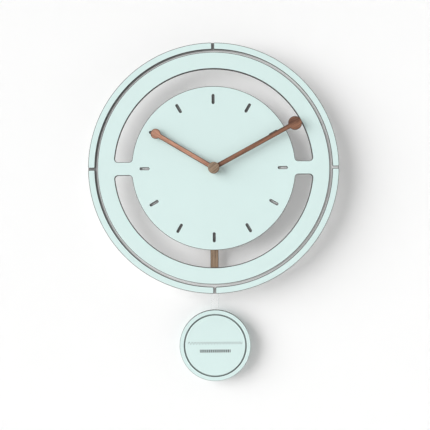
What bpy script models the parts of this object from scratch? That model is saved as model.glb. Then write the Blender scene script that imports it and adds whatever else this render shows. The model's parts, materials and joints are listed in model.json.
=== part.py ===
"""Pendulum wall clock: a layered open-ring face with two wooden hands, a quartz movement with a
pendulum drive behind it, and a wooden rod that carries a small two-layer bob.

Frame: +X is to the right, +Z is up, and the wall is the plane Y = 0 with the clock in front of it,
at negative Y. The origin is on the wall, straight behind the arbor that carries the hands.

Every piece is laid out in the dial frame, an empty whose X is right, whose Y is up and whose Z is
the distance out from the wall. A pair such as (back, front) holds two such distances.
"""

import math

import bmesh
import bpy

# ---------------------------------------------------------------------------------------------
# Driving dimensions, in metres and degrees
# ---------------------------------------------------------------------------------------------

# Clearances
SEAT_GAP = 0.0003  # between pieces that rest on, screw to or are glued to each other
RUNNING_GAP = 0.0001  # radial, between a shaft and the hole it turns in
LAYER_GAP = 0.0006  # between layers that turn past each other
END_PLAY = 0.0002  # between a shaft's end and the bottom of its hole
JOIN_LAP = 0.0001  # how far shapes that are joined into one run into each other
FLOOR_LIFT = 0.0007  # from the case's floor to what lies over it

# Face
RIM_R = 0.150
RIM_WIDTH = 0.008
RIM_SPLIT = 0.0024  # gap between neighbouring rim pieces
GROOVE_WIDTH = 0.0032
BAND_WIDTH = 0.0198
CUT_WIDTH = 0.021
CUT_CORNER_R = 0.004
BRIDGE_WIDTH = 0.016
MARK_LENGTH = 0.0108
MARK_WIDTH = 0.0024
MARK_INSET = 0.010  # from the disc's edge to the outer end of an hour mark
BACK_BOARD_THICK = 0.004
FACE_BOARD_THICK = 0.002

# Hands, with angles clockwise from twelve
HAND_THICK = 0.002
HAND_HUB_R = 0.0068
HOUR_REACH = 0.080
HOUR_BAR_WIDTH = 0.0056
HOUR_TIP_R = 0.0060
HOUR_ANGLE = 300.9
MINUTE_REACH = 0.110
MINUTE_BAR_WIDTH = 0.0055
MINUTE_TIP_R = 0.0082
MINUTE_ANGLE = 61.7
HAND_SPACE = 0.0004  # between the parts that turn at different speeds
BUSH_FLANGE_R = 0.0050
BUSH_FLANGE_THICK = 0.0005
HAND_BUSH_WALL = 0.0009
HAND_NUT_R = 0.0024
HAND_NUT_THICK = 0.0008
CAP_R = 0.0068
CAP_THICK = 0.0030
CAP_WEB = 0.0014  # wood left in front of the nut's pocket

# Arbors at the centre
ARBOR_R = 0.0016
ARBOR_TIP_R = 0.0011
ARBOR_BORE_DEPTH = 0.0030
PIPE_WALL = 0.0007
STAFF_R = 0.0006
MOTION_SHAFT_R = 0.0010

# Fixing of the face to the movement
BUSH_WALL = 0.0015
BUSH_PAST_NUT = 0.0001
ARBOR_PAST_NUT = 0.0002
RUBBER_R = 0.0075
RUBBER_THICK = 0.0016
WASHER_R = 0.0065
WASHER_THICK = 0.0005
NUT_ACROSS_FLATS = 0.0110
NUT_THICK = 0.0018
THREAD_GAP = 0.0003  # radial, round the threaded bush

# Movement case
CASE_WALL = 0.0015
CASE_CORNER_R = 0.003
COVER_THICK = 0.0017
POST_R = 0.0026
POST_INSET = 0.0035
BOSS_R = 0.0015
BOSS_HEIGHT = 0.0015
COVER_BOSS_R = 0.0030
LUG_R = 0.010
LUG_RISE = 0.005  # from the case's top to the middle of the lug's round end
LUG_THICK = 0.003
NAIL_HOLE_R = 0.004
NAIL_SLOT_R = 0.0016
NAIL_SLOT_RISE = 0.006
SCREW_CROWN_SHARE = 0.75  # of a screw head's radius, where its flat crown ends
CASE_SCREW_SHANK_R = 0.0010
CASE_SCREW_HEAD_R = 0.0020
CASE_SCREW_HEAD = 0.0012
CASE_SCREW_LENGTH = 0.0072

# Battery
BATTERY_R = 0.0071
BATTERY_BODY = 0.0490
BATTERY_SHOULDER = 0.0008
BATTERY_NUB_R = 0.0026
BATTERY_NUB = 0.0015
BAY_CLEARANCE = 0.00115
CONTACT_THICK = 0.0004
CONTACT_HALF = 0.0042
SPRING_BULGE = 0.0026
SPRING_HALF_SPAN = 0.0045

# Gear train
WHEEL_THICK = 0.0010
FINE_WHEEL_THICK = 0.0008
PINION_PAST = 0.0004  # pinion teeth past each face of the wheel they meet
STAFF_LIFT = 0.0004  # from the case's floor to the lower end of a staff
BRIDGE_SPACE = 0.0008  # between the centre wheel and the bridge
COVER_SPACE = 0.0014  # between the hour wheel's hub and the front cover
TRAIN_REACH = 0.0108  # from the centre to the third wheel and to the intermediate wheel
ROTOR_REACH = 0.00875  # from the intermediate wheel to the rotor
MOTION_REACH = 0.0132  # from the centre to the motion wheel
THIRD_DIRECTION = -30.0
INTERMEDIATE_DIRECTION = 210.0
ROTOR_DIRECTION = 180.0
MOTION_DIRECTION = 90.0
CANNON_TEETH, MOTION_WHEEL_TEETH = 12, 36
MOTION_PINION_TEETH, HOUR_WHEEL_TEETH = 10, 40
THIRD_PINION_TEETH, CENTRE_WHEEL_TEETH = 8, 64
SECONDS_PINION_TEETH, THIRD_WHEEL_TEETH = 8, 60
INTERMEDIATE_PINION_TEETH, SECONDS_WHEEL_TEETH = 12, 60
ROTOR_PINION_TEETH, INTERMEDIATE_WHEEL_TEETH = 10, 60
WHEEL_ADDENDUM = 0.80  # in modules
PINION_ADDENDUM = 0.60
DEDENDUM = 1.10
TOOTH_TIP_SHARE = 0.16  # of the tooth pitch
TOOTH_ROOT_SHARE = 0.60
POINTED_TEETH = 30  # a wheel with more teeth than this has pointed ones
HUB_WALL = 0.0014
BRIDGE_THICK = 0.0010
BRIDGE_TOP = 0.011
BRIDGE_MARGIN = 0.0030  # from the middle of a post to the bridge's edge above and below it
BRIDGE_SIDE_MARGIN = 0.0025
BRIDGE_CORNER_R = 0.003
BRIDGE_POST_R = 0.0022
BRIDGE_POST_SPACE = 0.0028  # between the third wheel's teeth and the post beside it
BRIDGE_POST_RISE = 0.0090  # of the upper pair of posts above the arbor
BRIDGE_POST_REACH = 0.0230  # of the upper pair of posts from the arbor, sideways

# Setting knob, in a well in the case's back
KNOB_R = 0.0048
KNOB_RIBS = 14
KNOB_RIB_SIZE = 0.0004
KNOB_THICK = 0.0028
KNOB_SETBACK = 0.0006
KNOB_SPACE = 0.0008
KNOB_WEB = 0.0006

# Stepping motor and electronics
ROTOR_MAGNET_R = 0.0030
ROTOR_MAGNET = 0.0032
STATOR_THICK = 0.0008
STATOR_LIFT = 0.0027  # from the case's floor to the stator
STATOR_LEG = 0.0030
STATOR_OUTER_REACH = 0.0074  # from the rotor's axis to the stator's outer side
STATOR_INNER_REACH = 0.0069
STATOR_RISE = 0.0056  # from the rotor's axis to the stator's top
STATOR_FALL = 0.0058  # from the rotor's axis to the arm of its inner leg
STATOR_WIDTH = 0.0220
STATOR_YOKE = 0.0033  # height of the arm over the coil
MOTOR_SPACE = 0.0020  # between the stator and the chamber's side wall
CORE_DROP = 0.0141  # from the rotor's axis to the coil's
CORE_HALF_HEIGHT = 0.0013
CORE_LAP = 0.0020  # stator leg below the middle of the core
CORE_THICK = 0.0010
SPOOL_WALL = 0.0003
SPOOL_FLANGE = 0.0006
MOTOR_SPOOL_BORE_R = 0.0016
MOTOR_SPOOL_FLANGE_R = 0.0037
MOTOR_SPOOL_SPACE = 0.0015  # between a leg of the stator and the spool's flange
BOARD_THICK = 0.0010
BOARD_COIL_SPACE = 0.0030  # between the drive coil and the circuit board
BOARD_POST_SPACE = 0.0006  # between the circuit board and a corner post
BOARD_RISE = 0.0020  # from the chamber's lower wall
BOARD_HEIGHT = 0.0225
CHIP_SIZE = (0.0050, 0.0050, 0.0012)
CHIP_BEVEL = 0.0003
CHIP_SPOT = (0.0045, 0.0145)  # from the board's lower left corner
CRYSTAL_R = 0.0010
CRYSTAL_LENGTH = 0.0060
CRYSTAL_SPOT = (0.0060, 0.0050)

# Pendulum drive
PIVOT_DROP = 0.026  # from the arbor down to the pendulum's pivot
PIN_R = 0.00075
PIN_BOSS_R = 0.0019
PIN_BOSS_HEIGHT = 0.0045
DRIVE_SPOOL_BORE_R = 0.0016
DRIVE_SPOOL_R = 0.0060
DRIVE_SPOOL_SPACE = 0.0006  # between the spool and the boss of the lever's pin
DRIVE_WINDING = 0.0046
DRIVE_MAGNET_R = 0.0030
DRIVE_MAGNET = 0.0024
LEVER_THICK = 0.0020
LEVER_HALF_WIDTH = 0.0035
LEVER_BELOW_CASE = 0.0095
LEVER_HUB_WALL = 0.0017
LEVER_HUB_LENGTH = 0.0057
LEVER_WINDOW_HALF = 0.0020
LEVER_WINDOW_RISE = 0.0053
LEVER_SILL = 0.0022  # lever left below its window
SLOT_HALF_WIDTH = 0.0078
SLOT_SPACE = 0.0025  # in the slot, before the lever's front

# Pendulum
HOOK_THICK = 0.0010
HOOK_HALF_WIDTH = 0.0035
HOOK_CORNER_R = 0.0010
HOOK_SETBACK = 0.0029  # from the lever's back to the hook's back
HOOK_TOP_RISE = 0.0070  # hook plate above the rod's top
HOOK_TAIL = 0.0130  # hook plate below the rod's top
HOOK_ARM_HALF = 0.0015
HOOK_ARM_HEIGHT = 0.0016
HOOK_LIP_HEIGHT = 0.0045
HOOK_REACH = 0.0017  # past the lever's front, lip included
HOOK_SCREW_DROPS = (0.0045, 0.0095)  # below the rod's top
ROD_WIDTH = 0.0096
ROD_THICK = 0.0040
ROD_BEVEL = 0.0004
ROD_BELOW_LEVER = 0.0005
ROD_END_INSET = 0.015  # the rod ends this far inside the rim
LINK_WIDTH = 0.010
LINK_THICK = 0.0015
LINK_CORNER_R = 0.0020
LINK_LAP = 0.013  # link beside the rod's lower end
LINK_SCREW_EDGE = 0.0035
LINK_SCREW_PITCH = 0.0060
LINK_INTO_BOB = 0.034
BOB_R = 0.0430
BOB_GAP = 0.0212  # between the rim's lowest point and the bob
BOB_BACK_THICK = 0.004
BOB_FRONT_THICK = 0.002
BOB_RING_WIDTH = 0.0052
BOB_GROOVE_WIDTH = 0.0010
WOOD_SCREW_SHANK_R = 0.0009
WOOD_SCREW_HEAD_R = 0.0018
WOOD_SCREW_HEAD = 0.0012
WOOD_SCREW_DEPTH = 0.0028  # into the wood

# Facets
BOARD_STEPS = 84  # points round a full board edge
ROUND_STEPS = 20
SMALL_STEPS = 12
CORNER_STEPS = 4
SHARP_ANGLE = math.radians(35)
WELD_DISTANCE = 1e-6
CUT_MARGIN = 0.001  # how far a cutter runs past the faces it opens


# ---------------------------------------------------------------------------------------------
# Sizes that follow from them
# ---------------------------------------------------------------------------------------------


def on_top(below, thickness):
    """The (back, front) pair of a layer that rests on the front of the layer below it."""
    back = below[1] + SEAT_GAP
    return back, back + thickness


def polar(distance, degrees, centre=(0.0, 0.0)):
    angle = math.radians(degrees)
    return centre[0] + distance * math.cos(angle), centre[1] + distance * math.sin(angle)


# Radii of the face
BAND_OUTER_R = RIM_R - RIM_WIDTH - GROOVE_WIDTH
BAND_INNER_R = BAND_OUTER_R - BAND_WIDTH
DISC_R = BAND_INNER_R - CUT_WIDTH

# Axes of the movement
CENTRE_SPOT = (0.0, 0.0)
THIRD_SPOT = polar(TRAIN_REACH, THIRD_DIRECTION)
INTERMEDIATE_SPOT = polar(TRAIN_REACH, INTERMEDIATE_DIRECTION)
ROTOR_SPOT = polar(ROTOR_REACH, ROTOR_DIRECTION, INTERMEDIATE_SPOT)
MOTION_SPOT = polar(MOTION_REACH, MOTION_DIRECTION)
PIVOT_SPOT = (0.0, -PIVOT_DROP)
MAGNET_ARM = PIN_BOSS_R + DRIVE_SPOOL_SPACE + DRIVE_SPOOL_R
DRIVE_SPOT = (0.0, -PIVOT_DROP - MAGNET_ARM)

# Modules, from each pair's distance and teeth
CANNON_MODULE = 2 * MOTION_REACH / (CANNON_TEETH + MOTION_WHEEL_TEETH)
HOUR_MODULE = 2 * MOTION_REACH / (MOTION_PINION_TEETH + HOUR_WHEEL_TEETH)
CENTRE_MODULE = 2 * TRAIN_REACH / (THIRD_PINION_TEETH + CENTRE_WHEEL_TEETH)
THIRD_MODULE = 2 * TRAIN_REACH / (SECONDS_PINION_TEETH + THIRD_WHEEL_TEETH)
SECONDS_MODULE = 2 * TRAIN_REACH / (INTERMEDIATE_PINION_TEETH + SECONDS_WHEEL_TEETH)
ROTOR_MODULE = 2 * ROTOR_REACH / (ROTOR_PINION_TEETH + INTERMEDIATE_WHEEL_TEETH)

# Stepping motor, laid out from the rotor
STATOR_WEST = ROTOR_SPOT[0] - STATOR_OUTER_REACH
STATOR_EAST = STATOR_WEST + STATOR_WIDTH
STATOR_NORTH = ROTOR_SPOT[1] + STATOR_RISE
STATOR_STEP_X = ROTOR_SPOT[0] + STATOR_INNER_REACH
STATOR_STEP_Y = ROTOR_SPOT[1] - STATOR_FALL
STATOR_ARM_SOUTH = STATOR_STEP_Y - STATOR_YOKE
CORE_Y = ROTOR_SPOT[1] - CORE_DROP
STATOR_SOUTH = CORE_Y - CORE_LAP
MOTOR_SPOOL_ENDS = (
    STATOR_WEST + STATOR_LEG + MOTOR_SPOOL_SPACE,
    STATOR_EAST - STATOR_LEG - MOTOR_SPOOL_SPACE,
)

# Case in plan: the battery and the motor set its width, the wheels and the drive coil its height
BAY_LENGTH = BATTERY_BODY + BATTERY_NUB + SPRING_BULGE + 2 * CONTACT_THICK + 4 * SEAT_GAP
CASE_INNER_HALF = max(BAY_LENGTH / 2, MOTOR_SPACE - STATOR_WEST)
CHAMBER_TOP = MOTION_REACH + (MOTION_WHEEL_TEETH / 2 + 1) * CANNON_MODULE + CUT_MARGIN
CHAMBER_BOTTOM = DRIVE_SPOT[1] - DRIVE_SPOOL_R - CUT_MARGIN
BAY_BOTTOM = CHAMBER_TOP + CASE_WALL
BAY_SIZE = 2 * (BATTERY_R + BAY_CLEARANCE)
BAY_TOP = BAY_BOTTOM + BAY_SIZE
CASE_HALF_WIDTH = CASE_INNER_HALF + CASE_WALL
CASE_TOP = BAY_TOP + CASE_WALL
BAY_WEST = CASE_INNER_HALF - BAY_LENGTH
CASE_BOTTOM = CHAMBER_BOTTOM - CASE_WALL
LUG_MIDDLE = CASE_TOP + LUG_RISE
CORNER_X = CASE_INNER_HALF - POST_INSET
CORNER_SPOTS = [
    (x, y)
    for y in (CHAMBER_TOP - POST_INSET, CHAMBER_BOTTOM + POST_INSET)
    for x in (-CORNER_X, CORNER_X)
]

# Posts of the train bridge: a pair above, and one beside the third wheel
THIRD_WHEEL_R = (THIRD_WHEEL_TEETH / 2 + WHEEL_ADDENDUM) * THIRD_MODULE
LOW_POST_REACH = THIRD_WHEEL_R + BRIDGE_POST_SPACE + BRIDGE_POST_R
LOW_POST = polar(LOW_POST_REACH, THIRD_DIRECTION, THIRD_SPOT)
BRIDGE_POSTS = [(-BRIDGE_POST_REACH, BRIDGE_POST_RISE), (BRIDGE_POST_REACH, BRIDGE_POST_RISE), LOW_POST]
BRIDGE_HALF_WIDTH = max(BRIDGE_POST_REACH, LOW_POST[0]) + BRIDGE_SIDE_MARGIN
BRIDGE_BOTTOM = LOW_POST[1] - BRIDGE_MARGIN

# Circuit board, between the drive coil and the corner post
BOARD_WEST = DRIVE_SPOOL_R + BOARD_COIL_SPACE
BOARD_EAST = CORNER_X - POST_R - BOARD_POST_SPACE
BOARD_SOUTH = CHAMBER_BOTTOM + BOARD_RISE
BOARD_NORTH = BOARD_SOUTH + BOARD_HEIGHT

# Layers of the movement, from the wall outwards
BOSS_FRONT = CASE_WALL + BOSS_HEIGHT
STAFF_BACK = CASE_WALL + STAFF_LIFT
KNOB = (KNOB_SETBACK, KNOB_SETBACK + KNOB_THICK)
WELL_DEPTH = KNOB[1] + LAYER_GAP
WELL_FRONT = WELL_DEPTH + CASE_WALL
SECONDS_WHEEL = (WELL_FRONT + LAYER_GAP, WELL_FRONT + LAYER_GAP + WHEEL_THICK)
FINE_WHEEL = (SECONDS_WHEEL[1] + WHEEL_THICK, SECONDS_WHEEL[1] + WHEEL_THICK + FINE_WHEEL_THICK)
PINION_FRONT = FINE_WHEEL[1] + PINION_PAST
ARBOR_BACK = PINION_FRONT + SEAT_GAP
CENTRE_WHEEL = (ARBOR_BACK + SEAT_GAP, ARBOR_BACK + SEAT_GAP + WHEEL_THICK)
BRIDGE = (CENTRE_WHEEL[1] + BRIDGE_SPACE, CENTRE_WHEEL[1] + BRIDGE_SPACE + BRIDGE_THICK)
STAFF_FRONT = BRIDGE[1] - END_PLAY
CANNON = (BRIDGE[1] + LAYER_GAP, BRIDGE[1] + LAYER_GAP + 2 * WHEEL_THICK)
MOTION_WHEEL = (CANNON[0] + WHEEL_THICK / 2, CANNON[1] - WHEEL_THICK / 2)
HOUR_HUB = (CANNON[1] + HAND_SPACE, CANNON[1] + HAND_SPACE + 2 * WHEEL_THICK)
HOUR_WHEEL = (HOUR_HUB[0] + SEAT_GAP, HOUR_HUB[0] + SEAT_GAP + WHEEL_THICK)
MOTION_PINION_FRONT = HOUR_WHEEL[1] + PINION_PAST
CASE_DEPTH = max(HOUR_HUB[1] + COVER_SPACE, BAY_SIZE + CASE_WALL)
SHAFT_FRONT = CASE_DEPTH - END_PLAY
BAY_DEPTH = BAY_SIZE
COVER = on_top((0.0, CASE_DEPTH), COVER_THICK)

# Layers of the face, from the cover outwards
RUBBER = on_top(COVER, RUBBER_THICK)
BACK_BOARD = on_top(RUBBER, BACK_BOARD_THICK)
FACE_BOARD = on_top(BACK_BOARD, FACE_BOARD_THICK)
WASHER = on_top(FACE_BOARD, WASHER_THICK)
NUT = on_top(WASHER, NUT_THICK)
BUSH_FRONT = NUT[1] + BUSH_PAST_NUT
HOUR_FLANGE = (BUSH_FRONT + HAND_SPACE, BUSH_FRONT + HAND_SPACE + BUSH_FLANGE_THICK)
HOUR_HAND = on_top(HOUR_FLANGE, HAND_THICK)
MINUTE_FLANGE = (HOUR_HAND[1] + HAND_SPACE, HOUR_HAND[1] + HAND_SPACE + BUSH_FLANGE_THICK)
MINUTE_HAND = on_top(MINUTE_FLANGE, HAND_THICK)
HAND_NUT = on_top(MINUTE_HAND, HAND_NUT_THICK)
CAP = on_top(MINUTE_HAND, CAP_THICK)
ARBOR_FRONT = HAND_NUT[1] + ARBOR_PAST_NUT

# Radii round the arbor
PIPE_BORE_R = ARBOR_R + RUNNING_GAP
PIPE_R = PIPE_BORE_R + PIPE_WALL
BUSH_BORE_R = PIPE_R + RUNNING_GAP
BUSH_R = BUSH_BORE_R + BUSH_WALL
STAFF_HOLE_R = STAFF_R + RUNNING_GAP
BOARD_HOLE_R = BUSH_R + THREAD_GAP

# Pendulum drive
DRIVE_SPOOL_BACK = CASE_WALL + FLOOR_LIFT
DRIVE_SPOOL_FRONT = DRIVE_SPOOL_BACK + 2 * SPOOL_FLANGE + DRIVE_WINDING
DRIVE_MAGNET_Z = (DRIVE_SPOOL_FRONT + LAYER_GAP, DRIVE_SPOOL_FRONT + LAYER_GAP + DRIVE_MAGNET)
LEVER = on_top(DRIVE_MAGNET_Z, LEVER_THICK)
LEVER_BOTTOM = CASE_BOTTOM - LEVER_BELOW_CASE
PIN_HOLE_R = PIN_R + RUNNING_GAP

# Pendulum
ROD_TOP = LEVER_BOTTOM - ROD_BELOW_LEVER
ROD_BOTTOM = -(RIM_R - ROD_END_INSET)
HOOK = (LEVER[0] - HOOK_SETBACK, LEVER[0] - HOOK_SETBACK + HOOK_THICK)
ROD = on_top(HOOK, ROD_THICK)
LINK = (ROD[0] - SEAT_GAP - LINK_THICK, ROD[0] - SEAT_GAP)
BOB_MIDDLE = -(RIM_R + BOB_GAP + BOB_R)
LINK_TOP = ROD_BOTTOM + LINK_LAP
LINK_BOTTOM = BOB_MIDDLE + BOB_R - LINK_INTO_BOB
BOB_BACK = (ROD[0], ROD[0] + BOB_BACK_THICK)
BOB_FRONT = on_top(BOB_BACK, BOB_FRONT_THICK)
WOOD_HOLE_R = WOOD_SCREW_SHANK_R + SEAT_GAP


# ---------------------------------------------------------------------------------------------
# Materials
# ---------------------------------------------------------------------------------------------

FINISHES = {
    # name: (red, green, blue, alpha), roughness, metallic
    "mint_lacquer": ((0.70, 0.83, 0.81, 1.0), 0.45, 0.0),
    "grey_board": ((0.74, 0.75, 0.75, 1.0), 0.70, 0.0),
    "light_walnut": ((0.44, 0.21, 0.14, 1.0), 0.50, 0.0),
    "dark_walnut": ((0.21, 0.11, 0.075, 1.0), 0.50, 0.0),
    "grey_walnut": ((0.30, 0.21, 0.16, 1.0), 0.55, 0.0),
    "brass": ((0.75, 0.55, 0.25, 1.0), 0.30, 1.0),
    "black_plastic": ((0.02, 0.02, 0.02, 1.0), 0.50, 0.0),
    "white_plastic": ((0.80, 0.80, 0.78, 1.0), 0.40, 0.0),
    "clear_plastic": ((0.90, 0.95, 0.95, 0.25), 0.05, 0.0),
    "rubber": ((0.03, 0.03, 0.03, 1.0), 0.80, 0.0),
    "steel": ((0.60, 0.60, 0.60, 1.0), 0.35, 1.0),
    "magnet": ((0.55, 0.55, 0.56, 1.0), 0.25, 1.0),
    "copper": ((0.60, 0.25, 0.12, 1.0), 0.35, 1.0),
    "circuit_green": ((0.03, 0.18, 0.08, 1.0), 0.45, 0.0),
    "battery_wrap": ((0.05, 0.07, 0.10, 1.0), 0.30, 0.0),
}


def make_materials():
    made = {}
    for name, (colour, roughness, metallic) in FINISHES.items():
        material = bpy.data.materials.new(name)
        material.use_nodes = True
        shader = material.node_tree.nodes["Principled BSDF"]
        shader.inputs["Base Color"].default_value = colour
        shader.inputs["Roughness"].default_value = roughness
        shader.inputs["Metallic"].default_value = metallic
        shader.inputs["Alpha"].default_value = colour[3]
        material.diffuse_color = colour
        made[name] = material
    return made


# ---------------------------------------------------------------------------------------------
# Outlines: lists of (x, y) points, anticlockwise unless they say otherwise
# ---------------------------------------------------------------------------------------------


def arc(centre, radius, start, end, steps):
    """Points along an arc from one angle to another in radians, both ends included."""
    angles = [start + (end - start) * step / steps for step in range(steps + 1)]
    return [(centre[0] + radius * math.cos(a), centre[1] + radius * math.sin(a)) for a in angles]


def circle(radius, steps=ROUND_STEPS, centre=(0.0, 0.0)):
    return arc(centre, radius, 0.0, math.tau, steps)[:-1]


def board_arc(radius, start, end):
    """An arc about the arbor with points as far apart as on a full board edge."""
    steps = max(2, round(abs(end - start) / math.tau * BOARD_STEPS))
    return arc((0.0, 0.0), radius, start, end, steps)


def rounded_rectangle(west, east, south, north, radius):
    corners = ((east, south, -90), (east, north, 0), (west, north, 90), (west, south, 180))
    points = []
    for x, y, start in corners:
        centre = (x + (radius if x == west else -radius), y + (radius if y == south else -radius))
        first = math.radians(start)
        points += arc(centre, radius, first, first + math.pi / 2, CORNER_STEPS)
    return points


def cut_out(upwards):
    """One of the face's two long openings: two arcs about the arbor, closed by straight ends that
    run along the bridge, with all four corners rounded. The lower one is the upper one mirrored."""
    low = BRIDGE_WIDTH / 2
    lift = low + CUT_CORNER_R
    outer_x = math.sqrt((BAND_INNER_R - CUT_CORNER_R) ** 2 - lift**2)
    inner_x = math.sqrt((DISC_R + CUT_CORNER_R) ** 2 - lift**2)
    outer_angle = math.atan2(lift, outer_x)
    inner_angle = math.atan2(lift, inner_x)
    down = -math.pi / 2
    points = arc((outer_x, lift), CUT_CORNER_R, down, outer_angle, CORNER_STEPS)
    points += board_arc(BAND_INNER_R, outer_angle, math.pi - outer_angle)[1:-1]
    points += arc((-outer_x, lift), CUT_CORNER_R, math.pi - outer_angle, math.pi - down, CORNER_STEPS)
    points += arc((-inner_x, lift), CUT_CORNER_R, down, -inner_angle, CORNER_STEPS)
    points += board_arc(DISC_R, math.pi - inner_angle, inner_angle)[1:-1]
    points += arc((inner_x, lift), CUT_CORNER_R, math.pi + inner_angle, math.pi - down, CORNER_STEPS)
    return [(x, y if upwards else -y) for x, y in points]


def hour_mark(hour):
    """A slot with round ends that points at the arbor."""
    half = MARK_WIDTH / 2
    outer = DISC_R - MARK_INSET - half
    inner = outer + MARK_WIDTH - MARK_LENGTH
    angle = math.radians(90 - 30 * hour)
    quarter = math.pi / 2
    near = polar(inner, math.degrees(angle))
    far = polar(outer, math.degrees(angle))
    end = arc(far, half, angle - quarter, angle + quarter, CORNER_STEPS)
    return end + arc(near, half, angle + quarter, angle + 3 * quarter, CORNER_STEPS)


def rim_piece(quarter):
    """A quarter of the rim, short of the next quarter by the split between them."""
    inner, outer = BAND_OUTER_R + GROOVE_WIDTH, RIM_R
    start = math.radians(90 * quarter)
    end = start + math.pi / 2
    trims = [math.asin(RIM_SPLIT / 2 / radius) for radius in (outer, inner)]
    return board_arc(outer, start + trims[0], end - trims[0]) + board_arc(
        inner, end - trims[1], start + trims[1]
    )


def hand_outline(bar_width, reach, tip_radius):
    """A hand that points up: a hub disc at the arbor and a tip disc, joined by a straight bar."""
    half = bar_width / 2
    hub_trim = math.asin(half / HAND_HUB_R)
    tip_trim = math.asin(half / tip_radius)
    quarter = math.pi / 2
    hub = arc((0.0, 0.0), HAND_HUB_R, quarter + hub_trim, 5 * quarter - hub_trim, ROUND_STEPS)
    tip = arc((0.0, reach), tip_radius, tip_trim - quarter, 3 * quarter - tip_trim, ROUND_STEPS)
    return hub + tip


def keyhole(middle):
    """A round hole for a nail's head with a narrower slot above it for the nail's shank."""
    trim = math.asin(NAIL_SLOT_R / NAIL_HOLE_R)
    quarter = math.pi / 2
    points = arc((0.0, middle), NAIL_HOLE_R, quarter + trim, 5 * quarter - trim, ROUND_STEPS)
    slot_end = (0.0, middle + NAIL_SLOT_RISE)
    return points + arc(slot_end, NAIL_SLOT_R, 0.0, math.pi, CORNER_STEPS)


def gear(teeth, module, addendum, phase):
    """Straight-sided teeth with generous backlash, the first one centred on the phase angle. A
    pinion's teeth have flat tips and a wheel's are pointed."""
    pitch_r = module * teeth / 2
    root_r, tip_r = pitch_r - DEDENDUM * module, pitch_r + addendum * module
    step = math.tau / teeth
    flat = TOOTH_TIP_SHARE / 2
    tips = [0.0] if teeth > POINTED_TEETH else [-flat, flat]
    corners = [(root_r, -TOOTH_ROOT_SHARE / 2)]
    corners += [(tip_r, share) for share in tips]
    corners += [(root_r, TOOTH_ROOT_SHARE / 2)]
    return [
        (radius * math.cos(angle), radius * math.sin(angle))
        for tooth in range(teeth)
        for radius, share in corners
        for angle in [phase + (tooth + share) * step]
    ]


def meshed_phase(teeth, phase, degrees, other_teeth):
    """The phase that puts a gap of the other gear on a tooth of this one. The other gear's middle
    lies in the given direction, and both phases count from their own gear's middle."""
    direction = math.radians(degrees)
    whole = (direction - phase) * teeth / math.tau
    return direction + math.pi - (0.5 - whole) * math.tau / other_teeth


# ---------------------------------------------------------------------------------------------
# Pieces
# ---------------------------------------------------------------------------------------------


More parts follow.
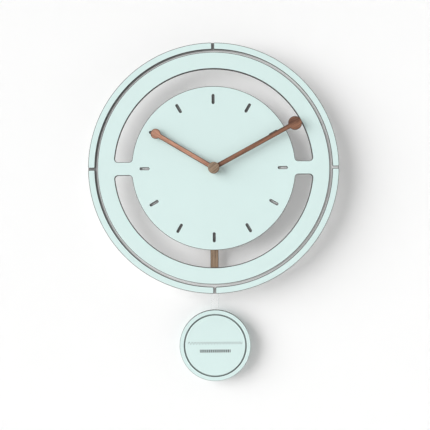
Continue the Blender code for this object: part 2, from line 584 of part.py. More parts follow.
class Bench:
    """The collections, finishes and axes that the pieces are made with."""

    def __init__(self):
        for old in list(bpy.data.objects):
            bpy.data.objects.remove(old, do_unlink=True)
        self.parts = self.collection("pendulum_wall_clock")
        self.cutters = self.collection("cutters")
        self.cutters.hide_render = True
        self.materials = make_materials()
        self.dial = self.axis("dial_frame", None, (0.0, 0.0))
        self.dial.rotation_euler.x = math.pi / 2

    def collection(self, name):
        made = bpy.data.collections.new(name)
        bpy.context.scene.collection.children.link(made)
        return made

    def axis(self, name, parent, spot):
        """An empty on a joint's axis, which the moving pieces hang from."""
        empty = bpy.data.objects.new(name, None)
        empty.empty_display_size = 0.01
        empty.parent = parent
        empty.location = (spot[0], spot[1], 0.0)
        self.parts.objects.link(empty)
        return empty

    def add(self, name, data, finish, parent):
        piece = bpy.data.objects.new(name, data)
        piece.parent = parent
        data.materials.append(self.materials[finish])
        self.parts.objects.link(piece)
        return piece

    def settle(self, piece):
        """The piece as one plain mesh: modifiers carried out, seams welded, round faces smooth."""
        graph = bpy.context.evaluated_depsgraph_get()
        mesh = bpy.data.meshes.new_from_object(piece.evaluated_get(graph))
        body = bmesh.new()
        body.from_mesh(mesh)
        bmesh.ops.remove_doubles(body, verts=body.verts, dist=WELD_DISTANCE)
        body.to_mesh(mesh)
        body.free()
        mesh.shade_smooth()
        mesh.set_sharp_from_angle(angle=SHARP_ANGLE)
        solid = bpy.data.objects.new("settled", mesh)
        solid.parent = piece.parent
        solid.matrix_basis = piece.matrix_basis.copy()
        self.parts.objects.link(solid)
        name = piece.name
        bpy.data.objects.remove(piece)
        solid.name = name
        return solid

    def plate(self, name, outlines, depths, finish, parent):
        """A flat plate from its back to its front: the first outline is its edge, the rest holes."""
        curve = bpy.data.curves.new(name, "CURVE")
        curve.dimensions = "2D"
        curve.fill_mode = "BOTH"
        curve.extrude = (depths[1] - depths[0]) / 2
        for outline in outlines:
            spline = curve.splines.new("POLY")
            spline.points.add(len(outline) - 1)
            for point, (x, y) in zip(spline.points, outline):
                point.co = (x, y, 0.0, 1.0)
            spline.use_cyclic_u = True
        piece = self.add(name, curve, finish, parent)
        piece.location.z = (depths[0] + depths[1]) / 2
        return self.settle(piece)

    def turned(self, name, profile, finish, parent, steps=ROUND_STEPS):
        """A turned piece. Its profile is (radius, distance) points from its front down its outer
        side, and back up its bore if it has one."""
        points = [(radius, 0.0, distance) for radius, distance in profile]
        edges = [(i, i + 1) for i in range(len(points) - 1)]
        if profile[0][0] > 0.0:
            edges.append((len(points) - 1, 0))
        mesh = bpy.data.meshes.new(name)
        mesh.from_pydata(points, edges, [])
        piece = self.add(name, mesh, finish, parent)
        turn = piece.modifiers.new("turn", "SCREW")
        turn.steps = turn.render_steps = steps
        turn.use_merge_vertices = True
        turn.merge_threshold = 1e-5
        return self.settle(piece)

    def ring(self, name, radii, depths, finish, parent, steps=ROUND_STEPS):
        """A plain washer or tube between an inner and an outer radius."""
        (inner, outer), (back, front) = radii, depths
        profile = [(outer, front), (outer, back), (inner, back), (inner, front)]
        return self.turned(name, profile, finish, parent, steps)

    def disc(self, name, radius, depths, finish, parent, steps=ROUND_STEPS):
        back, front = depths
        profile = [(0.0, front), (radius, front), (radius, back), (0.0, back)]
        return self.turned(name, profile, finish, parent, steps)

    def block(self, name, spans, finish, parent, bevel=0.0):
        """A box between two values on each axis, with its edges rounded if a bevel is given."""
        body = bmesh.new()
        bmesh.ops.create_cube(body, size=1.0)
        for axis, (low, high) in enumerate(spans):
            for vertex in body.verts:
                vertex.co[axis] = (low + high) / 2 + vertex.co[axis] * (high - low)
        mesh = bpy.data.meshes.new(name)
        body.to_mesh(mesh)
        body.free()
        piece = self.add(name, mesh, finish, parent)
        if bevel:
            rounding = piece.modifiers.new("rounding", "BEVEL")
            rounding.width = bevel
            rounding.segments = 1
        return piece

    def pegs(self, name, spots, radius, depths, parent, steps=SMALL_STEPS):
        """A helper that holds one cylinder at each spot, for posts, bosses and round holes."""
        body = bmesh.new()
        for x, y in spots:
            made = bmesh.ops.create_cone(
                body,
                cap_ends=True,
                segments=steps,
                radius1=radius,
                radius2=radius,
                depth=depths[1] - depths[0],
            )
            shift = (x, y, (depths[0] + depths[1]) / 2)
            bmesh.ops.translate(body, vec=shift, verts=made["verts"])
        mesh = bpy.data.meshes.new(name)
        body.to_mesh(mesh)
        body.free()
        return self.add(name, mesh, "steel", parent)

    def combine(self, piece, helper, operation):
        """Joins a helper to a piece, or cuts it away, and puts the helper among the cutters."""
        step = piece.modifiers.new(helper.name, "BOOLEAN")
        step.operation = operation
        step.solver = "EXACT"
        step.object = helper
        self.parts.objects.unlink(helper)
        self.cutters.objects.link(helper)
        helper.hide_render = True
        helper.display_type = "WIRE"

    def join(self, piece, helper):
        self.combine(piece, helper, "UNION")

    def cut(self, piece, helper):
        self.combine(piece, helper, "DIFFERENCE")

    def screw(self, name, spot, depths, sizes, parent):
        """A pan-head screw. Its depths are the seat and the tip, so its head points away from its
        tip. Its sizes are the shank's radius, the head's radius and the head's height."""
        (seat, tip), (shank_r, head_r, head) = depths, sizes
        crown_r = head_r * SCREW_CROWN_SHARE
        if seat > tip:
            profile = [(0.0, seat + head), (crown_r, seat + head), (head_r, seat + head / 2)]
            profile += [(head_r, seat), (shank_r, seat), (shank_r, tip), (0.0, tip)]
        else:
            profile = [(0.0, tip), (shank_r, tip), (shank_r, seat), (head_r, seat)]
            profile += [(head_r, seat - head / 2), (crown_r, seat - head), (0.0, seat - head)]
        piece = self.turned(name, profile, "steel", parent, SMALL_STEPS)
        piece.location = (spot[0], spot[1], 0.0)
        return piece


# ---------------------------------------------------------------------------------------------
# Face
# ---------------------------------------------------------------------------------------------


def make_face(bench):
    """The grey backing board, and in front of it the mint face with its slotted hour marks and the
    four rim pieces. A groove down to the backing board parts the face from the rim."""
    hole = circle(BOARD_HOLE_R)
    openings = [cut_out(True), cut_out(False)]
    marks = [hour_mark(hour) for hour in range(12)]
    dial = bench.dial
    bench.plate("back_board", [circle(RIM_R, BOARD_STEPS), hole] + openings, BACK_BOARD, "grey_board", dial)
    face_edge = circle(BAND_OUTER_R, BOARD_STEPS)
    bench.plate("face_board", [face_edge, hole] + openings + marks, FACE_BOARD, "mint_lacquer", dial)
    for quarter in range(4):
        bench.plate(f"rim_arc_{quarter + 1}", [rim_piece(quarter)], FACE_BOARD, "mint_lacquer", dial)


def make_face_fixing(bench):
    """The washers and the nut that clamp the two boards to the movement's threaded bush."""
    dial = bench.dial
    bench.ring("rubber_washer", (BOARD_HOLE_R, RUBBER_R), RUBBER, "rubber", dial)
    bench.ring("front_washer", (BOARD_HOLE_R, WASHER_R), WASHER, "steel", dial)
    corner_r = NUT_ACROSS_FLATS / 2 / math.cos(math.pi / 6)
    bench.plate("hex_nut", [circle(corner_r, 6), circle(BOARD_HOLE_R)], NUT, "brass", dial)


# ---------------------------------------------------------------------------------------------
# Hands
# ---------------------------------------------------------------------------------------------


def make_hand(bench, kind, outline, radii, layers, finish, parent, angle):
    """A wooden hand with the flanged brass bush that holds it on its arbor. The radii are the
    bush's bore and the hand's hole, and the layers are the hand's and the bush flange's."""
    (bore_r, hole_r), (depths, flange) = radii, layers
    hand = bench.plate(f"{kind}_hand", [outline, circle(hole_r)], depths, finish, parent)
    hand.rotation_euler.z = -math.radians(angle)
    wall_r = hole_r - SEAT_GAP
    profile = [(wall_r, depths[1]), (wall_r, flange[1]), (BUSH_FLANGE_R, flange[1])]
    profile += [(BUSH_FLANGE_R, flange[0]), (bore_r, flange[0]), (bore_r, depths[1])]
    bench.turned(f"{kind}_bush", profile, "brass", parent)


def make_hands(bench, hour_axis, minute_axis):
    hour_bore_r = PIPE_R + RUNNING_GAP
    hour_hole_r = hour_bore_r + HAND_BUSH_WALL + SEAT_GAP
    outline = hand_outline(HOUR_BAR_WIDTH, HOUR_REACH, HOUR_TIP_R)
    radii = (hour_bore_r, hour_hole_r)
    layers = (HOUR_HAND, HOUR_FLANGE)
    make_hand(bench, "hour", outline, radii, layers, "light_walnut", hour_axis, HOUR_ANGLE)
    minute_bore_r = ARBOR_R + RUNNING_GAP
    minute_hole_r = minute_bore_r + HAND_BUSH_WALL + SEAT_GAP
    outline = hand_outline(MINUTE_BAR_WIDTH, MINUTE_REACH, MINUTE_TIP_R)
    radii = (minute_bore_r, minute_hole_r)
    layers = (MINUTE_HAND, MINUTE_FLANGE)
    make_hand(bench, "minute", outline, radii, layers, "dark_walnut", minute_axis, MINUTE_ANGLE)
    nut_bore_r = ARBOR_TIP_R + RUNNING_GAP
    bench.ring("hand_nut", (nut_bore_r, HAND_NUT_R), HAND_NUT, "brass", minute_axis, SMALL_STEPS)
    pocket_r = HAND_NUT_R + LAYER_GAP
    pocket_front = CAP[1] - CAP_WEB
    profile = [(0.0, CAP[1]), (CAP_R, CAP[1]), (CAP_R, CAP[0]), (pocket_r, CAP[0])]
    profile += [(pocket_r, pocket_front), (0.0, pocket_front)]
    bench.turned("hand_cap", profile, "grey_walnut", minute_axis)


# ---------------------------------------------------------------------------------------------
# Movement case
# ---------------------------------------------------------------------------------------------


def make_rear_case(bench):
    """One moulding: the train chamber opens to the front and the battery bay to the back. Posts,
    bearing bosses and the knob's well stand on the floor, and the hanging lug is on top."""
    dial = bench.dial
    edge = rounded_rectangle(-CASE_HALF_WIDTH, CASE_HALF_WIDTH, CASE_BOTTOM, CASE_TOP, CASE_CORNER_R)
    case = bench.plate("rear_case", [edge], (0.0, CASE_DEPTH), "black_plastic", dial)
    across, upright = (-CASE_INNER_HALF, CASE_INNER_HALF), (CHAMBER_BOTTOM, CHAMBER_TOP)
    chamber = (across, upright, (CASE_WALL, CASE_DEPTH + CUT_MARGIN))
    bay = ((BAY_WEST, CASE_INNER_HALF), (BAY_BOTTOM, BAY_TOP), (-CUT_MARGIN, BAY_DEPTH))
    bench.cut(case, bench.block("chamber", chamber, "steel", dial))
    bench.cut(case, bench.block("battery_bay", bay, "steel", dial))
    add_posts(bench, case)
    add_lug(bench, case)
    slot = (-SLOT_HALF_WIDTH, SLOT_HALF_WIDTH), (CASE_BOTTOM - CUT_MARGIN, CHAMBER_BOTTOM + CUT_MARGIN)
    slot_depths = (HOOK[0], LEVER[1] + SLOT_SPACE)
    bench.cut(case, bench.block("lever_slot", (*slot, slot_depths), "steel", dial))


def add_posts(bench, case):
    """Posts and bosses joined to the floor, and then the holes and the knob's well cut in them."""
    dial = bench.dial
    root = CASE_WALL / 2
    bearings = [CENTRE_SPOT, THIRD_SPOT, INTERMEDIATE_SPOT, ROTOR_SPOT]
    well_r = KNOB_R + KNOB_RIB_SIZE + KNOB_SPACE
    pin_front = CASE_WALL + PIN_BOSS_HEIGHT
    bridge_seat = BRIDGE[0] - SEAT_GAP
    bench.join(case, bench.pegs("posts", CORNER_SPOTS, POST_R, (root, CASE_DEPTH), dial))
    bench.join(case, bench.pegs("bridge_posts", BRIDGE_POSTS, BRIDGE_POST_R, (root, bridge_seat), dial))
    bench.join(case, bench.pegs("bosses", bearings, BOSS_R, (root, BOSS_FRONT), dial))
    bench.join(case, bench.pegs("pin_boss", [PIVOT_SPOT], PIN_BOSS_R, (root, pin_front), dial))
    well_wall_r = well_r + CASE_WALL
    wall = (root, WELL_FRONT)
    bench.join(case, bench.pegs("well_wall", [MOTION_SPOT], well_wall_r, wall, dial, ROUND_STEPS))
    thread_r = CASE_SCREW_SHANK_R + SEAT_GAP
    thread = (CASE_DEPTH - CASE_SCREW_LENGTH, CASE_DEPTH + CUT_MARGIN)
    bench.cut(case, bench.pegs("post_holes", CORNER_SPOTS, thread_r, thread, dial))
    blind = STAFF_BACK - END_PLAY
    staff_hole = (blind, BOSS_FRONT + CUT_MARGIN)
    bench.cut(case, bench.pegs("staff_holes", bearings, STAFF_HOLE_R, staff_hole, dial))
    bench.cut(case, bench.pegs("pin_hole", [PIVOT_SPOT], PIN_HOLE_R, (blind, pin_front + CUT_MARGIN), dial))
    bench.cut(case, bench.pegs("well", [MOTION_SPOT], well_r, (-CUT_MARGIN, WELL_DEPTH), dial, ROUND_STEPS))
    shaft_hole_r = MOTION_SHAFT_R + RUNNING_GAP
    shaft_hole = (WELL_DEPTH - CUT_MARGIN, WELL_FRONT + CUT_MARGIN)
    bench.cut(case, bench.pegs("shaft_hole", [MOTION_SPOT], shaft_hole_r, shaft_hole, dial))


def add_lug(bench, case):
    """A tab with a round top and a keyhole, grown from the case's top wall."""
    base = CASE_TOP - CASE_WALL / 2
    edge = [(-LUG_R, base), (LUG_R, base)] + arc((0.0, LUG_MIDDLE), LUG_R, 0.0, math.pi, ROUND_STEPS // 2)
    lug = bench.plate("lug", [edge, keyhole(LUG_MIDDLE)], (0.0, LUG_THICK), "steel", bench.dial)
    bench.join(case, lug)


def make_front_cover(bench):
    """The cover with the threaded bush that carries the face, and bearing bosses on its back."""
    dial = bench.dial
    edge = rounded_rectangle(-CASE_HALF_WIDTH, CASE_HALF_WIDTH, CASE_BOTTOM, CASE_TOP, CASE_CORNER_R)
    screw_hole_r = CASE_SCREW_SHANK_R + SEAT_GAP
    holes = [circle((BUSH_BORE_R + BUSH_R) / 2)]
    holes += [circle(screw_hole_r, SMALL_STEPS, spot) for spot in CORNER_SPOTS]
    cover = bench.plate("front_cover", [edge] + holes, COVER, "black_plastic", dial)
    middle = sum(COVER) / 2
    bench.join(cover, bench.ring("bush", (BUSH_BORE_R, BUSH_R), (middle, BUSH_FRONT), "steel", dial))
    spots = [MOTION_SPOT, PIVOT_SPOT]
    boss_back = MOTION_PINION_FRONT + SEAT_GAP
    bench.join(cover, bench.pegs("cover_bosses", spots, COVER_BOSS_R, (boss_back, middle), dial))
    for name, spot, radius in (
        ("shaft_bearing", MOTION_SPOT, MOTION_SHAFT_R + RUNNING_GAP),
        ("pin_bearing", PIVOT_SPOT, PIN_HOLE_R),
    ):
        bore = (boss_back - CUT_MARGIN, SHAFT_FRONT + END_PLAY)
        bench.cut(cover, bench.pegs(name, [spot], radius, bore, dial))


def make_case_screws(bench):
    sizes = (CASE_SCREW_SHANK_R, CASE_SCREW_HEAD_R, CASE_SCREW_HEAD)
    seat = COVER[1] + SEAT_GAP
    for number, spot in enumerate(CORNER_SPOTS, start=1):
        depths = (seat, seat - CASE_SCREW_LENGTH)
        bench.screw(f"case_screw_{number}", spot, depths, sizes, bench.dial)


# ---------------------------------------------------------------------------------------------
# Gear train
# ---------------------------------------------------------------------------------------------


def gear_plate(bench, name, toothing, addendum, parent, hole_r=0.0):
    """A toothed plate. Its toothing is its teeth, module, phase and depths."""
    teeth, module, phase, depths = toothing
    outlines = [gear(teeth, module, addendum, phase)]
    if hole_r:
        outlines.append(circle(hole_r))
    return bench.plate(name, outlines, depths, "white_plastic", parent)


def staffed_gear(bench, name, profile, wheel, pinion, parent, finish="white_plastic"):
    """A wheel and a pinion on one staff. Each gear is its teeth, module, phase and depths."""
    staff = bench.turned(name, profile, finish, parent, SMALL_STEPS)
    if wheel:
        bench.join(staff, gear_plate(bench, f"{name}_wheel_teeth", wheel, WHEEL_ADDENDUM, parent))
    bench.join(staff, gear_plate(bench, f"{name}_pinion_teeth", pinion, PINION_ADDENDUM, parent))


def plain_staff(back, front, radius=STAFF_R):
    """The profile of a plain shaft between two distances."""
    return [(0.0, front), (radius, front), (radius, back), (0.0, back)]


def make_train(bench, axes):
    """The five fine gears, from the stepping rotor to the centre wheel that drives the hands."""
    staff = plain_staff(STAFF_BACK, ARBOR_BACK + ARBOR_BORE_DEPTH - END_PLAY)
    depths = (SECONDS_WHEEL[1] - JOIN_LAP, PINION_FRONT)
    wheel = (SECONDS_WHEEL_TEETH, SECONDS_MODULE, 0.0, SECONDS_WHEEL)
    pinion = (SECONDS_PINION_TEETH, THIRD_MODULE, 0.0, depths)
    staffed_gear(bench, "seconds_wheel", staff, wheel, pinion, axes["seconds"])

    staff = plain_staff(STAFF_BACK, STAFF_FRONT)
    phase = meshed_phase(SECONDS_PINION_TEETH, 0.0, THIRD_DIRECTION, THIRD_WHEEL_TEETH)
    depths = (FINE_WHEEL[1] - JOIN_LAP, CENTRE_WHEEL[1] + PINION_PAST)
    wheel = (THIRD_WHEEL_TEETH, THIRD_MODULE, phase, FINE_WHEEL)
    pinion = (THIRD_PINION_TEETH, CENTRE_MODULE, 0.0, depths)
    staffed_gear(bench, "third_wheel", staff, wheel, pinion, axes["third"])

    towards, teeth = INTERMEDIATE_DIRECTION, INTERMEDIATE_PINION_TEETH
    phase = meshed_phase(SECONDS_WHEEL_TEETH, 0.0, towards, teeth)
    depths = (SECONDS_WHEEL[0] - PINION_PAST, FINE_WHEEL[0] + JOIN_LAP)
    wheel = (INTERMEDIATE_WHEEL_TEETH, ROTOR_MODULE, 0.0, FINE_WHEEL)
    pinion = (teeth, SECONDS_MODULE, phase, depths)
    staffed_gear(bench, "intermediate_wheel", staff, wheel, pinion, axes["intermediate"])

    make_rotor(bench, axes["rotor"])
    make_centre_wheel(bench, axes["centre"])


def make_rotor(bench, parent):
    """The stepping motor's round magnet and pinion on one staff."""
    magnet_back = BOSS_FRONT + END_PLAY
    magnet_front = magnet_back + ROTOR_MAGNET
    profile = [(0.0, STAFF_FRONT), (STAFF_R, STAFF_FRONT), (STAFF_R, magnet_front)]
    profile += [(ROTOR_MAGNET_R, magnet_front), (ROTOR_MAGNET_R, magnet_back)]
    profile += [(STAFF_R, magnet_back), (STAFF_R, STAFF_BACK), (0.0, STAFF_BACK)]
    phase = meshed_phase(INTERMEDIATE_WHEEL_TEETH, 0.0, ROTOR_DIRECTION, ROTOR_PINION_TEETH)
    pinion = (ROTOR_PINION_TEETH, ROTOR_MODULE, phase, (FINE_WHEEL[0] - PINION_PAST, PINION_FRONT))
    staffed_gear(bench, "rotor", profile, None, pinion, parent, "magnet")


def make_centre_wheel(bench, parent):
    """The wheel that grips the minute arbor by friction, so that the hands can be set."""
    bore_r = ARBOR_R + RUNNING_GAP
    hub_r = bore_r + HUB_WALL
    hub = (CENTRE_WHEEL[0] - JOIN_LAP, CENTRE_WHEEL[1] + PINION_PAST)
    wheel = bench.ring("centre_wheel", (bore_r, hub_r), hub, "white_plastic", parent)
    phase = meshed_phase(THIRD_PINION_TEETH, 0.0, THIRD_DIRECTION + 180, CENTRE_WHEEL_TEETH)
    teeth = (CENTRE_WHEEL_TEETH, CENTRE_MODULE, phase, CENTRE_WHEEL)
    hole_r = (bore_r + hub_r) / 2
    bench.join(wheel, gear_plate(bench, "centre_teeth", teeth, WHEEL_ADDENDUM, parent, hole_r))


def make_motion_work(bench, axes):
    """The 12 to 1 reduction: cannon pinion, motion wheel and pinion, and hour wheel."""
    bore_front = ARBOR_BACK + ARBOR_BORE_DEPTH
    profile = [(0.0, ARBOR_FRONT), (ARBOR_TIP_R, ARBOR_FRONT), (ARBOR_TIP_R, MINUTE_HAND[1])]
    profile += [(ARBOR_R, MINUTE_HAND[1]), (ARBOR_R, ARBOR_BACK), (STAFF_HOLE_R, ARBOR_BACK)]
    profile += [(STAFF_HOLE_R, bore_front), (0.0, bore_front)]
    arbor = bench.turned("minute_arbor", profile, "steel", axes["minute"])
    teeth = (CANNON_TEETH, CANNON_MODULE, 0.0, CANNON)
    bench.join(arbor, gear_plate(bench, "cannon_teeth", teeth, PINION_ADDENDUM, axes["minute"]))

    staff = plain_staff(KNOB[0] + KNOB_WEB + END_PLAY, SHAFT_FRONT, MOTION_SHAFT_R)
    phase = meshed_phase(CANNON_TEETH, 0.0, MOTION_DIRECTION, MOTION_WHEEL_TEETH)
    wheel = (MOTION_WHEEL_TEETH, CANNON_MODULE, phase, MOTION_WHEEL)
    pinion = (MOTION_PINION_TEETH, HOUR_MODULE, 0.0, (MOTION_WHEEL[1] - JOIN_LAP, MOTION_PINION_FRONT))
    staffed_gear(bench, "motion_wheel", staff, wheel, pinion, axes["motion"])

    hub_r = PIPE_R + HUB_WALL
    profile = [(PIPE_R, HOUR_HAND[1]), (PIPE_R, HOUR_HUB[1]), (hub_r, HOUR_HUB[1]), (hub_r, HOUR_HUB[0])]
    profile += [(PIPE_BORE_R, HOUR_HUB[0]), (PIPE_BORE_R, HOUR_HAND[1])]
    hour = bench.turned("hour_wheel", profile, "white_plastic", axes["hour"])
    phase = meshed_phase(MOTION_PINION_TEETH, 0.0, MOTION_DIRECTION + 180, HOUR_WHEEL_TEETH)
    teeth = (HOUR_WHEEL_TEETH, HOUR_MODULE, phase, HOUR_WHEEL)
    hole_r = (PIPE_R + hub_r) / 2
    bench.join(hour, gear_plate(bench, "hour_teeth", teeth, WHEEL_ADDENDUM, axes["hour"], hole_r))
    make_knob(bench, axes["motion"])


def make_knob(bench, parent):
    """The ribbed knob on the motion wheel's shaft, which turns the hands when they are set."""
    size = 2 * KNOB_R / KNOB_RIBS
    addendum = KNOB_RIB_SIZE / size
    ribs = gear(KNOB_RIBS, size, addendum, 0.0)
    knob = bench.plate("setting_knob", [ribs], KNOB, "black_plastic", parent)
    socket = (KNOB[0] + KNOB_WEB, KNOB[1] + CUT_MARGIN)
    bench.cut(knob, bench.pegs("knob_socket", [CENTRE_SPOT], MOTION_SHAFT_R + RUNNING_GAP, socket, parent))


def make_bridge(bench):
    """The plate that carries the front pivots of the train."""
    half = BRIDGE_HALF_WIDTH
    edge = rounded_rectangle(-half, half, BRIDGE_BOTTOM, BRIDGE_TOP, BRIDGE_CORNER_R)
    holes = [circle(ARBOR_R + RUNNING_GAP)]
    spots = (THIRD_SPOT, INTERMEDIATE_SPOT, ROTOR_SPOT)
    holes += [circle(STAFF_HOLE_R, SMALL_STEPS, spot) for spot in spots]
    bench.plate("train_bridge", [edge] + holes, BRIDGE, "black_plastic", bench.dial)


# ---------------------------------------------------------------------------------------------
# Motor, electronics and battery
# ---------------------------------------------------------------------------------------------


def make_spool(bench, names, radii, length, finish, parent):
    """A spool and its winding about the local Z, from 0 to its length. Radii: bore and flange."""
    bore_r, flange_r = radii
    wall_r = bore_r + SPOOL_WALL
    inner, outer = SPOOL_FLANGE, length - SPOOL_FLANGE
    profile = [(flange_r, length), (flange_r, outer), (wall_r, outer), (wall_r, inner)]
    profile += [(flange_r, inner), (flange_r, 0.0), (bore_r, 0.0), (bore_r, length)]
    spool = bench.turned(names[0], profile, "black_plastic", parent, SMALL_STEPS)
    radii = (wall_r + SEAT_GAP, flange_r - SEAT_GAP)
    depths = (inner + SEAT_GAP, outer - SEAT_GAP)
    winding = bench.ring(names[1], radii, depths, finish, parent, SMALL_STEPS)
    return spool, winding


def make_motor(bench):
    """The stator plate round the rotor, and the core between its legs with the motor's coil."""
    dial = bench.dial
    stator_back = CASE_WALL + STATOR_LIFT
    stator = (stator_back, stator_back + STATOR_THICK)
    west_leg, east_leg = STATOR_WEST + STATOR_LEG, STATOR_EAST - STATOR_LEG
    edge = [
        (STATOR_WEST, STATOR_NORTH),
        (STATOR_WEST, STATOR_SOUTH),
        (west_leg, STATOR_SOUTH),
        (west_leg, STATOR_ARM_SOUTH),
        (east_leg, STATOR_ARM_SOUTH),
        (east_leg, STATOR_SOUTH),
        (STATOR_EAST, STATOR_SOUTH),
        (STATOR_EAST, STATOR_STEP_Y),
        (STATOR_STEP_X, STATOR_STEP_Y),
        (STATOR_STEP_X, STATOR_NORTH),
    ]
    rotor_hole = circle(ROTOR_MAGNET_R + LAYER_GAP, ROUND_STEPS, ROTOR_SPOT)
    bench.plate("stator", [edge, rotor_hole], stator, "steel", dial)
    core = on_top(stator, CORE_THICK)
    span_y = (CORE_Y - CORE_HALF_HEIGHT, CORE_Y + CORE_HALF_HEIGHT)
    bench.block("coil_core", ((STATOR_WEST, STATOR_EAST), span_y, core), "steel", dial)
    length = MOTOR_SPOOL_ENDS[1] - MOTOR_SPOOL_ENDS[0]
    radii = (MOTOR_SPOOL_BORE_R, MOTOR_SPOOL_FLANGE_R)
    for piece in make_spool(bench, ("motor_spool", "motor_winding"), radii, length, "copper", dial):
        piece.rotation_euler.y = math.pi / 2
        piece.location = (MOTOR_SPOOL_ENDS[0], CORE_Y, sum(core) / 2)


def make_electronics(bench):
    dial = bench.dial
    board = (CASE_WALL + FLOOR_LIFT, CASE_WALL + FLOOR_LIFT + BOARD_THICK)
    spans = ((BOARD_WEST, BOARD_EAST), (BOARD_SOUTH, BOARD_NORTH), board)
    bench.block("circuit_board", spans, "circuit_green", dial)
    chip = on_top(board, CHIP_SIZE[2])
    middle = (BOARD_WEST + CHIP_SPOT[0], BOARD_SOUTH + CHIP_SPOT[1])
    across = [(spot - size / 2, spot + size / 2) for spot, size in zip(middle, CHIP_SIZE)]
    bench.block("drive_chip", (*across, chip), "black_plastic", dial, CHIP_BEVEL)
    crystal = bench.disc("quartz_crystal", CRYSTAL_R, (0.0, CRYSTAL_LENGTH), "steel", dial, SMALL_STEPS)
    crystal.rotation_euler.x = math.pi / 2
    middle = (BOARD_WEST + CRYSTAL_SPOT[0], BOARD_SOUTH + CRYSTAL_SPOT[1])
    crystal.location = (*middle, board[1] + SEAT_GAP + CRYSTAL_R)


def make_battery(bench):
    """The cell lies across the top of the case, its nub to the right, between two contacts."""
    dial = bench.dial
    middle_y, middle_z = (BAY_BOTTOM + BAY_TOP) / 2, BAY_DEPTH / 2
    plate_east = CASE_INNER_HALF - SEAT_GAP
    nub_end = plate_east - CONTACT_THICK - SEAT_GAP
    body_end = nub_end - BATTERY_NUB
    start = body_end - BATTERY_BODY
    soft_r = BATTERY_R - BATTERY_SHOULDER
    profile = [(0.0, nub_end), (BATTERY_NUB_R, nub_end), (BATTERY_NUB_R, body_end), (soft_r, body_end)]
    profile += [(BATTERY_R, body_end - BATTERY_SHOULDER), (BATTERY_R, start + BATTERY_SHOULDER)]
    profile += [(soft_r, start), (0.0, start)]
    battery = bench.turned("battery", profile, "battery_wrap", dial)
    battery.rotation_euler.y = math.pi / 2
    battery.location = (0.0, middle_y, middle_z)
    across = (middle_y - CONTACT_HALF, middle_y + CONTACT_HALF)
    plate_x = (plate_east - CONTACT_THICK, plate_east)
    depths = (middle_z - CONTACT_HALF, middle_z + CONTACT_HALF)
    bench.block("contact_plus", (plate_x, across, depths), "steel", dial)
    make_contact_spring(bench, start - SEAT_GAP, middle_y, middle_z)


def make_contact_spring(bench, tip_x, middle_y, middle_z):
    """A bowed leaf that presses on the cell's flat end. Its arc bulges by the bulge over the span."""
    radius = (SPRING_HALF_SPAN**2 + SPRING_BULGE**2) / (2 * SPRING_BULGE)
    half_angle = math.asin(SPRING_HALF_SPAN / radius)
    centre = (tip_x - radius, 0.0)
    outer = arc(centre, radius, -half_angle, half_angle, SMALL_STEPS)
    inner = arc(centre, radius - CONTACT_THICK, half_angle, -half_angle, SMALL_STEPS)
    width = (-CONTACT_HALF, CONTACT_HALF)
    leaf = bench.plate("contact_minus", [outer + inner], width, "steel", bench.dial)
    leaf.rotation_euler.x = math.pi / 2
    leaf.location = (0.0, middle_y, middle_z)


# ---------------------------------------------------------------------------------------------
# Pendulum drive and pendulum
# ---------------------------------------------------------------------------------------------


def make_drive(bench, swing_axis):
    """The drive coil on the case's floor, and the lever that swings on a fixed pin before it."""
    names = ("drive_spool", "drive_winding")
    length = DRIVE_SPOOL_FRONT - DRIVE_SPOOL_BACK
    radii = (DRIVE_SPOOL_BORE_R, DRIVE_SPOOL_R)
    for piece in make_spool(bench, names, radii, length, "copper", bench.dial):
        piece.location = (*DRIVE_SPOT, DRIVE_SPOOL_BACK)
    pin = bench.disc("lever_pin", PIN_R, (STAFF_BACK, SHAFT_FRONT), "steel", bench.dial, SMALL_STEPS)
    pin.location = (*PIVOT_SPOT, 0.0)
    magnet = bench.disc("drive_magnet", DRIVE_MAGNET_R, DRIVE_MAGNET_Z, "magnet", swing_axis)
    magnet.location.y = -MAGNET_ARM
    make_lever(bench, swing_axis)


def make_lever(bench, swing_axis):
    """A flat lever with a round top, a window that the rod's hook sits in, and a hub on its pin."""
    half = LEVER_HALF_WIDTH
    bottom = LEVER_BOTTOM + PIVOT_DROP
    edge = [(-half, bottom), (half, bottom)] + arc((0.0, 0.0), half, 0.0, math.pi, ROUND_STEPS // 2)
    sill = bottom + LEVER_SILL
    window = [(-LEVER_WINDOW_HALF, sill), (LEVER_WINDOW_HALF, sill)]
    window += [(x, sill + LEVER_WINDOW_RISE) for x in (LEVER_WINDOW_HALF, -LEVER_WINDOW_HALF)]
    hub_r = PIN_HOLE_R + LEVER_HUB_WALL
    eye = circle((PIN_HOLE_R + hub_r) / 2, SMALL_STEPS)
    lever = bench.plate("swing_lever", [edge, eye, window], LEVER, "white_plastic", swing_axis)
    hub_back = sum(LEVER) / 2 - LEVER_HUB_LENGTH / 2
    hub = (hub_back, hub_back + LEVER_HUB_LENGTH)
    bench.join(lever, bench.ring("lever_hub", (PIN_HOLE_R, hub_r), hub, "steel", swing_axis, SMALL_STEPS))


